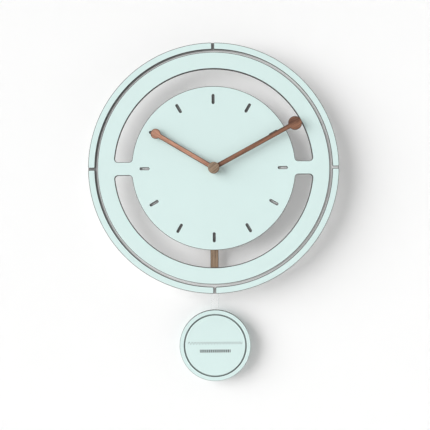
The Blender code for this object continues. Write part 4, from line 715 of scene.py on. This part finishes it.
def wound_copper(name, along):
    """Enamelled wire wound in close turns: a ridge for every turn along the winding's axis, with painted
    shade in the crease between turns.
    """
    made = Finish(name)
    turns = made.axes()[along].strayed(0.16 * MM) * 2.0
    tone = made.noise(900.0)
    wire = made.mix(tone, (0.62, 0.24, 0.10), (0.78, 0.36, 0.17))
    return made.set(
        # painted shade: the crease between two turns is darkened
        base_color=made.mix(turns.rise(0.55, 1.0) * 0.75, wire, (0.16, 0.05, 0.02)),
        metallic=1.0 - turns.rise(0.7, 1.0) * 0.4,
        roughness=0.28 + tone * 0.12,
        coat_weight=0.4,
        coat_roughness=0.12,
        normal=made.bump(1.0 - turns, 0.00006),
    )


def circuit_green():
    """Solder mask over copper tracks: the tracks show as lighter raised lines."""
    made = Finish("circuit_green")
    x, _, z = made.axes()
    pitch, half = 1.9 * MM, 0.16
    upright, level = x.strayed(pitch) < half, z.strayed(pitch) < half
    patches = made.noise(310.0, 0.0)
    tracks = upright * (patches > 0.50) + level * (patches < 0.47)
    mottle = made.noise(700.0)
    mask = made.mix(mottle, (0.012, 0.105, 0.045), (0.020, 0.160, 0.070))
    return made.set(
        base_color=made.mix(tracks, mask, (0.045, 0.270, 0.120)),
        roughness=0.28 + mottle * 0.15,
        coat_weight=0.3,
        coat_roughness=0.15,
        normal=made.bump(tracks, 0.00003),
    )


def cell_sleeve():
    """The cell's steel ends and its printed sleeve: a plain field, and pale bands by its nub."""
    colours = bpy.context.scene.clock_colours
    made = Finish("battery_wrap")
    x, _, _ = made.axes()
    west, east = low("battery")[0], high("battery")[0]
    along = (x - west) / (east - west)
    sleeve = (along > 0.024) * (along < 0.955)
    bands = (along > 0.80) * (along < 0.90)
    line = (along > 0.915) * (along < 0.928)
    scuff = made.noise((90.0, 900.0, 900.0), 3.0).rise(0.55, 0.8)
    field = made.mix(bands + line, colours.wrap, (0.62, 0.64, 0.62))
    field = made.mix(scuff * 0.18, field, (0.55, 0.57, 0.57))
    steel = made.mix(scuff, (0.60, 0.59, 0.57), (0.42, 0.41, 0.40))
    return made.set(
        base_color=made.mix(sleeve, steel, field),
        metallic=1.0 - sleeve * 0.85,
        roughness=0.24 + scuff * 0.18,
        coat_weight=sleeve * 0.5,
        coat_roughness=0.10,
        normal=made.bump(scuff, 0.00002, 0.4),
    )


def bob_ornament(made):
    """The bob's printed ornament: a faint scroll, and below it a short row of bold upright bars.
    The scroll is where |z - swing * sin(2 pi x / pitch)| is less than half its stroke."""
    bob = bpy.context.scene.clock_bob
    x, z = middle("bob_disc")
    east, _, north = made.axes()
    across, up = east - x, north - z
    stroke = 0.5 * MM
    wave = (across * (TURN / bob.upper_pitch)).sine()
    scroll = abs(up - bob.upper_line - wave * bob.upper_swing) < stroke
    fine = scroll * (abs(across) < bob.upper_half)
    bars = (across.strayed(bob.lower_pitch) < 0.37) * (abs(up - bob.lower_line) < bob.lower_height)
    bold = bars * (abs(across) < bob.lower_half)
    return (fine * 0.8 + bold).rise(0.0, 1.0)


def make_finishes():
    """The finishes of the record's slots, and the few that one piece alone uses."""
    colours = bpy.context.scene.clock_colours
    hands = bpy.context.scene.clock_hands
    mint_lacquer()
    mint_lacquer("printed_mint", bob_ornament)
    grey_board()
    walnut("light_walnut", colours.hour_light, colours.hour_dark, hands.hour_angle)
    walnut("dark_walnut", colours.minute_light, colours.minute_dark, hands.minute_angle)
    walnut("grey_walnut", colours.rod_light, colours.rod_dark, 0.0)
    walnut("cap_walnut", scaled(colours.rod_light, 0.74), scaled(colours.rod_dark, 0.70), 0.9)
    metal("brass", (0.80, 0.58, 0.25), 0.27, (0.48, 0.33, 0.14))
    metal("steel", (0.66, 0.67, 0.68), 0.30, (0.46, 0.46, 0.45))
    metal("magnet", (0.62, 0.61, 0.60), 0.20, (0.44, 0.43, 0.41))
    wound_copper("copper", 0)
    wound_copper("face_on_copper", 1)
    moulded("black_plastic", (0.033, 0.033, 0.034), 0.46)
    moulded("white_plastic", (0.60, 0.60, 0.59), 0.36, 2400.0, 0.00001)
    moulded("rubber", (0.030, 0.029, 0.028), 0.78, 1500.0, 0.00006)
    engraved_case()
    clear_acrylic()
    circuit_green()
    cell_sleeve()


def finish(name):
    """A finish by name, from those made when the script starts."""
    found = bpy.data.materials.get(FINISH_NAMES.get(name, ""))
    if found is None:
        raise RuntimeError(f"the finish {name} has not been made")
    return found


# ---- Outlines of the pieces ----


def board_arc(radius, start, end):
    """An arc about the arbor with points as close together as on a full board edge."""
    steps = max(2, round(abs(end - start) / TURN * BOARD_STEPS))
    return arc((0.0, 0.0), radius, start, end, steps)


def face_radii():
    """The face's edge, the band's inner edge and the disc's edge."""
    sizes = bpy.context.scene.clock_face
    outer = high("face_board")[0]
    return outer, outer - sizes.band, outer - sizes.band - sizes.cut


def cut_out(upwards):
    """The edge of one long opening, clockwise: two arcs about the arbor, closed by straight ends
    along the bridges, with four round corners. Each corner's middle lies a corner radius inside
    the arc and the end that it joins."""
    sizes = bpy.context.scene.clock_face
    _, band, disc = face_radii()
    corner = sizes.cut_corner
    lift = sizes.bridge / 2 + corner
    outer = np.array((math.sqrt((band - corner) ** 2 - lift**2), lift))
    inner = np.array((math.sqrt((disc + corner) ** 2 - lift**2), lift))
    far, near = math.atan2(lift, outer[0]), math.atan2(lift, inner[0])
    down, mirrored = -math.pi / 2, np.array((-1.0, 1.0))
    path = [
        arc(outer, corner, down, far, CORNER_STEPS),
        board_arc(band, far, math.pi - far)[1:-1],
        arc(outer * mirrored, corner, math.pi - far, math.pi - down, CORNER_STEPS),
        arc(inner * mirrored, corner, down, -near, CORNER_STEPS),
        board_arc(disc, math.pi - near, near)[1:-1],
        arc(inner, corner, math.pi + near, math.pi - down, CORNER_STEPS),
    ]
    path = distinct(np.concatenate(path))
    return path[::-1] if upwards else path * np.array((1.0, -1.0))


def hour_mark(hour):
    """The edge of an hour mark, clockwise: a slot with round ends that points at the arbor."""
    sizes = bpy.context.scene.clock_face
    half = sizes.mark_width / 2
    outer = face_radii()[2] - sizes.mark_inset - half
    inner = outer + sizes.mark_width - sizes.mark_length
    far = arc((0.0, outer), half, 0.0, math.pi, 12)
    near = arc((0.0, inner), half, math.pi, TURN, 12)
    return turned_outline(np.concatenate((far, near)), TURN * hour / 12)[::-1]


def rim_quarter(quarter):
    """A quarter of the rim, short of its neighbours by half the split between them."""
    sizes = bpy.context.scene.clock_face
    outer, inner = high("back_board")[0], high("face_board")[0] + sizes.groove
    start = quarter * math.pi / 2
    far, near = (math.asin(sizes.rim_split / 2 / radius) for radius in (outer, inner))
    out = board_arc(outer, start + far, start + math.pi / 2 - far)
    back = board_arc(inner, start + math.pi / 2 - near, start + near)
    points = np.concatenate((out, back))
    reach = np.zeros(len(points))
    reach[[0, len(out) - 1, len(out), -1]] = sizes.lip * 1.6
    return soften(points, reach)


def hand_outline(bar, reach, tip, hub):
    """A hand that points up: a hub disc at the arbor and a tip disc, joined by a straight bar."""
    half = bar / 2
    low_trim, high_trim = math.asin(half / hub), math.asin(half / tip)
    right = math.pi / 2
    below = arc((0.0, 0.0), hub, right + low_trim, 5 * right - low_trim, 48)
    above = arc((0.0, reach), tip, high_trim - right, 3 * right - high_trim, 48)
    return np.concatenate((below, above))


# ---- Pieces ----


def make_face():
    """The backing board, the slotted face and the four quarters of the rim."""
    sizes = bpy.context.scene.clock_face
    hole = circle(sizes.hole)[::-1]
    openings = [cut_out(True), cut_out(False)]
    marks = [hour_mark(hour) for hour in range(12)]
    backing_edge = circle(high("back_board")[0], BOARD_STEPS)
    face_edge = circle(high("face_board")[0], BOARD_STEPS)
    ease = (sizes.arris, sizes.lip)
    backing = plate([backing_edge, hole, *openings], depths("back_board"), *ease)
    face = plate([face_edge, hole, *openings, *marks], depths("face_board"), *ease)
    place("backing_disc", backing, "grey_board", "back_board")
    place("mint_face", face, "mint_lacquer", "face_board")
    for quarter in range(4):
        node = f"rim_arc_{quarter + 1}"
        rim = plate([rim_quarter(quarter)], depths(node), *ease)
        place(f"rim_quarter_{quarter + 1}", rim, "mint_lacquer", node)


def hub_bore(kind):
    """The bore of a hand's bush: the hour hand's runs on the pipe, the minute hand's on the arbor."""
    return 2.5 * MM if kind == "hour" else 1.7 * MM


def make_hand(kind, wood, turn, *outline):
    """One wooden hand, with a hole in its hub for the flanged brass bush."""
    hands = bpy.context.scene.clock_hands
    node, bush = f"{kind}_hand", f"{kind}_bush"
    bush_back, bush_front = depths(bush)
    bore = hub_bore(kind)
    wall, flange = bore + 0.9 * MM, half_size(bush)[0]
    gap, ease = 0.3 * MM, 0.08 * MM
    edge = turned_outline(hand_outline(*outline, hands.hub), turn)
    hole = circle(wall + gap, 48)[::-1]
    hand = plate([edge, hole], depths(node), hands.arris, hands.lip)
    place(f"{kind}_hand_wood", hand, wood, node)
    step = bush_back + 0.5 * MM
    profile = [(wall, bush_front), (wall, step), (flange, step)]
    profile += [(flange, bush_back), (bore, bush_back), (bore, bush_front)]
    ring = turned(soften(profile, ease, 2), steps=64, closed=True)
    place(f"{kind}_hand_bush", ring, "brass", bush)


def make_hands():
    """The two wooden hands with their bushes."""
    hands = bpy.context.scene.clock_hands
    hour = (hands.hour_bar, hands.hour_reach, hands.hour_tip)
    minute = (hands.minute_bar, hands.minute_reach, hands.minute_tip)
    make_hand("hour", "light_walnut", hands.hour_angle, *hour)
    make_hand("minute", "dark_walnut", hands.minute_angle, *minute)


def make_cap():
    """The turned cap over the hand nut. Its face falls from the middle by crown * s^2, with s the
    distance from the middle as a share of the radius, and a pocket behind it takes the nut."""
    hands = bpy.context.scene.clock_hands
    back, front = depths("hand_cap")
    radius = half_size("hand_cap")[0]
    pocket, web = 3.0 * MM, 1.4 * MM
    reach = np.linspace(0.0, radius - hands.lip, 10)
    dome = np.column_stack((reach, front - hands.crown * (reach / radius) ** 2))
    rim = [(radius, front - hands.crown), (radius, back), (pocket, back)]
    rim += [(pocket, front - web), (0.0, front - web)]
    profile = np.concatenate((dome[:-1], section([dome[-1], *rim], hands.arris)))
    cap = turned(profile, marks=(profile[:, 0] > radius * 0.99).astype(float))
    place("turned_cap", cap, "cap_walnut", "hand_cap")


def make_bob():
    """The bob's backing disc, and on it a ring and a printed disc with a fine groove between."""
    sizes, bob = bpy.context.scene.clock_face, bpy.context.scene.clock_bob
    centre = middle("bob_back")
    radius = half_size("bob_back")[0]
    ease = (sizes.arris * 0.7, sizes.lip * 0.55)
    outer = circle(radius, 240, centre)
    inner = circle(radius - bob.ring, 240, centre)
    disc = circle(radius - bob.ring - bob.groove, 240, centre)
    place("bob_backing", plate([outer], depths("bob_back"), *ease), "mint_lacquer", "bob_back")
    ring = plate([outer, inner[::-1]], depths("bob_ring"), *ease)
    place("bob_rim", ring, "mint_lacquer", "bob_ring")
    place("bob_front", plate([disc], depths("bob_disc"), *ease), "printed_mint", "bob_disc")


def make_rod():
    """The wooden rod with rounded arrises, and the clear strip that carries the bob from it."""
    hands = bpy.context.scene.clock_hands
    for name, node, material, corner, arris in (
        ("wooden_rod", "pendulum_rod", "grey_walnut", 0.5 * MM, hands.arris),
        ("clear_strip", "clear_link", "clear_plastic", 2.0 * MM, 0.1 * MM),
    ):
        west, south = low(node)[[0, 2]]
        east, north = high(node)[[0, 2]]
        edge = soften(rectangle(west, east, south, north), corner)
        place(name, plate([edge], depths(node), arris, hands.lip), material, node)


def make_screw(node):
    """A pan-head screw seen from behind. Over the head, with s the distance from its middle as a
    share of its radius, the crown's height falls as sqrt(1 - 0.6 s^2), and a cross-shaped recess
    sinks where the smaller of |x| and |z| is small and the larger is below the recess's reach."""
    centre, radius = middle(node), half_size(node)[0]
    back, front = depths(node)
    head, shank = 1.2 * MM, radius / 2
    brim, recess = 0.45 * head, 0.5 * head
    arm_half, arm_reach = 0.17 * radius, 0.58 * radius
    side_slope, end_slope = 0.07 * radius, 0.1 * radius
    angles = np.linspace(0.0, TURN, 48, endpoint=False)
    s = np.linspace(0.0, 1.0, 22)[:, None]
    x, z = abs(radius * s * np.cos(angles)), abs(radius * s * np.sin(angles))
    crown = np.sqrt(1 - 0.6 * s**2)
    crown = (crown - crown[-1]) / (1 - crown[-1])
    arm = np.clip((arm_half - np.minimum(x, z)) / side_slope, 0, 1)
    arm = arm * np.clip((arm_reach - np.maximum(x, z)) / end_slope, 0, 1)
    top = spun(radius * s, back + brim * (1 - crown) + recess * arm, angles, centre)
    seat = back + head
    sides = [(radius, back + brim), (radius, seat), (shank, seat), (shank, front - shank), (0.0, front)]
    sides = section(sides, 0.05 * MM, 2)[1:]
    below = spun(sides[:, :1], sides[:, 1:], angles, centre)
    shell = Shell()
    shell.band(np.concatenate((top, below)))
    place(f"{node}_head", shell, "steel", node)


def make_screws():
    """The wood screws of the rod's hook and of the clear strip."""
    for kind, count in (("hook", 2), ("link", 4)):
        for number in range(count):
            make_screw(f"{kind}_screw_{number + 1}")


def make_fixings():
    """The washers and the chamfered nut that clamp the face, and the nut on the minute arbor."""
    hole = bpy.context.scene.clock_face.hole
    for node, name, bore, ease in (
        ("rubber_washer", "soft_washer", hole, 0.35),
        ("front_washer", "flat_washer", hole, 0.12),
        ("hand_nut", "hand_nut_turned", 1.2 * MM, 0.15),
    ):
        back, front = depths(node)
        radius = half_size(node)[0]
        profile = [(radius, front), (radius, back), (bore, back), (bore, front)]
        ring = turned(soften(profile, ease * MM, 3), steps=72, closed=True)
        place(name, ring, SLOT_OF[node], node)
    back, front = depths("hex_nut")
    corner, ease = half_size("hex_nut")[0], 0.25 * MM
    edge = soften(circle(corner, 6), ease, 3)
    nut = plate([edge, circle(hole, 48)[::-1]], (back, front), ease, 0.4 * MM)
    place("chamfered_nut", nut, "brass", "hex_nut")


def make_cell():
    """The dry cell: a steel can in a sleeve, with its nub at the right end and a sunk left end."""
    centre = (-sum(depths("battery")) / 2, middle("battery")[1])
    west, east = low("battery")[0], high("battery")[0]
    radius = half_size("battery")[1]
    nub, nub_radius, sunk, step = 1.5 * MM, 2.6 * MM, 0.35 * MM, 0.1 * MM
    end = east - nub
    seat = radius - 1.5 * MM
    corners = [(0.0, east), (nub_radius, east), (nub_radius, end + step), (seat, end - step)]
    corners += [(seat, end), (radius, end), (radius, west), (seat, west)]
    corners += [(seat, west + sunk), (0.0, west + sunk)]
    reach = np.array([0.0, 0.5, 0.1, 0.1, 0.1, 1.0, 1.0, 0.3, 0.1, 0.0]) * 0.45 * MM
    can = turned(soften(corners, reach), centre, along_x=True)
    place("dry_cell", can, "battery_wrap", "battery")
    make_spring(centre)


def make_spring(centre):
    """The contact spring: the helix centre + r(t) * (cos t, sin t), whose turns at its two ends lie
    flat while x rises evenly between them, and whose radius r narrows towards the cell."""
    wire, wide, narrow = 0.30 * MM, 3.9 * MM, 2.1 * MM
    west, east = low("contact_minus")[0] + wire, high("contact_minus")[0] - wire
    turns, flat_share, rising_share = 3.5, 0.16, 0.72
    t = np.linspace(0.0, 1.0, 220)
    rise = np.clip((t - flat_share) / rising_share, 0.0, 1.0)
    radius = wide + (narrow - wide) * rise
    angles = turns * TURN * t
    y, z = centre[0] + radius * np.cos(angles), centre[1] + radius * np.sin(angles)
    path = np.column_stack((west + (east - west) * rise, y, z))
    radii = wire * np.clip(np.minimum(t, 1 - t) * 60, 0.0, 1.0)
    place("contact_spring", tube(path, radii), "steel", "contact_minus")


def make_knob():
    """The setting knob: a rim of rounded ribs, r = R * (1 + wave * cos(n a)), with a shallow dish
    in its back face."""
    centre = middle("setting_knob")
    radius = half_size("setting_knob")[0]
    back, front = depths("setting_knob")
    ribs, wave, dish = 24, 0.045, back + 0.5 * MM
    dish_share, rim_share = 0.62, 0.74
    angles = np.linspace(0.0, TURN, ribs * 12, endpoint=False)
    shape = (1 + wave * np.cos(ribs * angles)) / (1 + wave)
    corners = [(0.0, dish), (radius * dish_share, dish), (radius * rim_share, back)]
    corners += [(radius, back), (radius, front), (0.0, front)]
    rows = section(corners, 0.25 * MM)
    ribbed = np.clip((rows[:, :1] / radius - rim_share) / (1 - rim_share), 0.0, 1.0)
    reach = rows[:, :1] * (1 + ribbed * (shape - 1))
    shell = Shell()
    shell.band(spun(reach, rows[:, 1:], angles, centre))
    place("ribbed_knob", shell, "black_plastic", "setting_knob")


def ease_edges(node, width):
    """Rounds a CAD node's edges where it stands: its loose triangles are welded, flat faces are
    made whole, and the edges get a small bevel. The node's own mesh stays as it is."""
    item = NODES[node]
    weld = item.modifiers.new("weld", "WELD")
    weld.merge_threshold = WELD_DISTANCE
    flat = item.modifiers.new("flat", "DECIMATE")
    flat.decimate_type = "DISSOLVE"
    flat.angle_limit = FLAT_ANGLE
    bevel = item.modifiers.new("bevel", "BEVEL")
    bevel.width = width
    bevel.segments = 2
    bevel.limit_method = "ANGLE"
    bevel.angle_limit = BEVEL_ANGLE


def dress(node, name=None):
    """Gives a CAD node its finish."""
    materials = NODES[node].data.materials
    materials.clear()
    materials.append(finish(name or SLOT_OF[node]))


CASE = ("rear_case", "front_cover")


def make_case():
    """The movement's case and cover, with eased edges and a moulded grain."""
    dress("rear_case", "engraved_plastic")
    dress("front_cover")
    for node in CASE:
        ease_edges(node, 0.3 * MM)


def make_movement():
    """The finishes of the pieces inside the case, and of those that carry the rod."""
    for node, item in NODES.items():
        if not item.hide_render and node not in CASE:
            dress(node, "face_on_copper" if node == "drive_winding" else None)


# ---- Stage ----

WALL_SHADE = (0.91, 0.91, 0.91)
FLOOR_SHADE = (0.86, 0.86, 0.85)
SEEN_SKY = (0.80, 0.80, 0.80)
KEY_DIRECTION = (-0.80, -0.55, 0.20)
BACK_DIRECTION = (-0.5, 0.75, 0.45)
BACK_SHARE = 0.22


def one_sided(name, shade):
    """A matt pale surface that is clear from behind."""
    made = Finish(name)
    made.set(base_color=rgba(shade), roughness=0.9, specular_ior_level=0.1)
    clear = made.node("ShaderNodeBsdfTransparent")
    behind = made.node("ShaderNodeNewGeometry").out("Backfacing")
    solid = Wire(made, made.shader.outputs[0])
    blend = made.node("ShaderNodeMixShader", (), {0: behind, 1: solid, 2: clear})
    made.join(made.tree.nodes["Material Output"].inputs["Surface"], blend)
    return made.material


def make_ground(name, corners, shade):
    """A large flat piece of the stage. It casts no shadow, so it hides no light."""
    mesh = bpy.data.meshes.new(name)
    mesh.from_pydata(corners, [], [(0, 1, 2, 3)])
    mesh.materials.append(one_sided(name, shade))
    ground = add(name, mesh)
    ground.visible_shadow = False


def make_light(name, direction, spread, strength):
    """A wide soft light that falls evenly on the whole clock from a direction."""
    data = bpy.data.lights.new(name, "SUN")
    data.angle = spread
    data.energy = strength
    light = add(name, data)
    light.location = direction
    light.rotation_euler = Vector(direction).to_track_quat("Z", "Y").to_euler()


def make_camera(stage):
    """The camera square to the wall, turned a little about its own axis."""
    data = bpy.data.cameras.new("camera")
    data.sensor_width = 36.0
    data.lens = data.sensor_width * stage.distance / stage.field
    data.dof.use_dof = False
    camera = add("camera", data)
    front = depths("face_board")[1]
    spot = Vector((stage.aim_right, -front - stage.distance, stage.aim_up))
    upright = Matrix.Rotation(math.pi / 2, 4, "X")
    camera.matrix_world = Matrix.Translation(spot) @ upright @ Matrix.Rotation(-stage.roll, 4, "Z")
    bpy.context.scene.camera = camera


def make_sky(level):
    """An even light from all round, which the camera sees as a pale grey."""
    world = bpy.data.worlds.new("sky")
    world.use_nodes = True
    tree = world.node_tree
    sky = tree.nodes["Background"]
    sky.inputs["Strength"].default_value = 1.0
    seen = tree.nodes.new("ShaderNodeMix")
    seen.data_type = "RGBA"
    tree.links.new(tree.nodes.new("ShaderNodeLightPath").outputs["Is Camera Ray"], seen.inputs[0])
    seen.inputs[6].default_value = (level, level, level, 1.0)
    seen.inputs[7].default_value = rgba(SEEN_SKY)
    tree.links.new(seen.outputs[2], sky.inputs["Color"])
    bpy.context.scene.world = world


def make_stage():
    """Wall, floor, soft lights, an even sky and the camera."""
    stage = bpy.context.scene.clock_stage
    far, wall, floor = 9.0, 0.0004, -stage.floor_drop
    upper = [(-far, wall, floor), (far, wall, floor), (far, wall, far), (-far, wall, far)]
    lower = [(-far, -far, floor), (far, -far, floor), (far, far, floor), (-far, far, floor)]
    make_ground("wall", upper, WALL_SHADE)
    make_ground("floor", lower, FLOOR_SHADE)
    make_light("key_light", KEY_DIRECTION, stage.key_spread, stage.key_strength)
    make_light("back_light", BACK_DIRECTION, stage.key_spread, stage.key_strength * BACK_SHARE)
    make_sky(stage.sky)
    bpy.context.scene.view_settings.view_transform = "Standard"
    make_camera(stage)


# ---- Add-on ----


class CLOCK_OT_finishes(bpy.types.Operator):
    """Make the clock's materials"""

    bl_idname = "clock.finishes"
    bl_label = "Finishes"

    def execute(self, context):
        make_finishes()
        return {"FINISHED"}


class CLOCK_OT_face(bpy.types.Operator):
    """Make the backing board, the slotted face and the rim"""

    bl_idname = "clock.face"
    bl_label = "Face"

    def execute(self, context):
        make_face()
        return {"FINISHED"}


class CLOCK_OT_hands(bpy.types.Operator):
    """Make the hands, their bushes and the cap"""

    bl_idname = "clock.hands"
    bl_label = "Hands"

    def execute(self, context):
        make_hands()
        make_cap()
        return {"FINISHED"}


class CLOCK_OT_bob(bpy.types.Operator):
    """Make the two-layer bob"""

    bl_idname = "clock.bob"
    bl_label = "Bob"

    def execute(self, context):
        make_bob()
        return {"FINISHED"}


class CLOCK_OT_rod(bpy.types.Operator):
    """Make the pendulum's rod, its clear strip and their screws"""

    bl_idname = "clock.rod"
    bl_label = "Rod"

    def execute(self, context):
        make_rod()
        make_screws()
        return {"FINISHED"}


class CLOCK_OT_fixings(bpy.types.Operator):
    """Make the washers and nuts"""

    bl_idname = "clock.fixings"
    bl_label = "Fixings"

    def execute(self, context):
        make_fixings()
        return {"FINISHED"}


class CLOCK_OT_cell(bpy.types.Operator):
    """Make the dry cell and its contact spring"""

    bl_idname = "clock.cell"
    bl_label = "Cell"

    def execute(self, context):
        make_cell()
        return {"FINISHED"}


class CLOCK_OT_movement(bpy.types.Operator):
    """Finish the movement's case, its knob and the pieces inside it"""

    bl_idname = "clock.movement"
    bl_label = "Movement"

    def execute(self, context):
        make_knob()
        make_case()
        make_movement()
        return {"FINISHED"}


class CLOCK_OT_stage(bpy.types.Operator):
    """Make the wall, the floor, the lights and the camera"""

    bl_idname = "clock.stage"
    bl_label = "Stage"

    def execute(self, context):
        make_stage()
        return {"FINISHED"}


OPERATORS = (
    CLOCK_OT_finishes,
    CLOCK_OT_face,
    CLOCK_OT_hands,
    CLOCK_OT_bob,
    CLOCK_OT_rod,
    CLOCK_OT_fixings,
    CLOCK_OT_cell,
    CLOCK_OT_movement,
    CLOCK_OT_stage,
)


class CLOCK_PT_panel(bpy.types.Panel):
    """The clock's steps in order"""

    bl_idname = "CLOCK_PT_panel"
    bl_label = "Pendulum Wall Clock"
    bl_space_type = "VIEW_3D"
    bl_region_type = "UI"
    bl_category = "Wall Clock"

    def draw(self, context):
        for operator in OPERATORS:
            self.layout.operator(operator.bl_idname)


def register():
    for kind in (*GROUPS.values(), *OPERATORS, CLOCK_PT_panel):
        bpy.utils.register_class(kind)
    for name, kind in GROUPS.items():
        setattr(bpy.types.Scene, name, PointerProperty(type=kind))


def unregister():
    for name in GROUPS:
        delattr(bpy.types.Scene, name)
    for kind in reversed((*GROUPS.values(), *OPERATORS, CLOCK_PT_panel)):
        bpy.utils.unregister_class(kind)


def main():
    register()
    bpy.ops.clock.finishes()
    bpy.ops.clock.face()
    bpy.ops.clock.hands()
    bpy.ops.clock.bob()
    bpy.ops.clock.rod()
    bpy.ops.clock.fixings()
    bpy.ops.clock.cell()
    bpy.ops.clock.movement()
    bpy.ops.clock.stage()


if __name__ == "__main__":
    main()
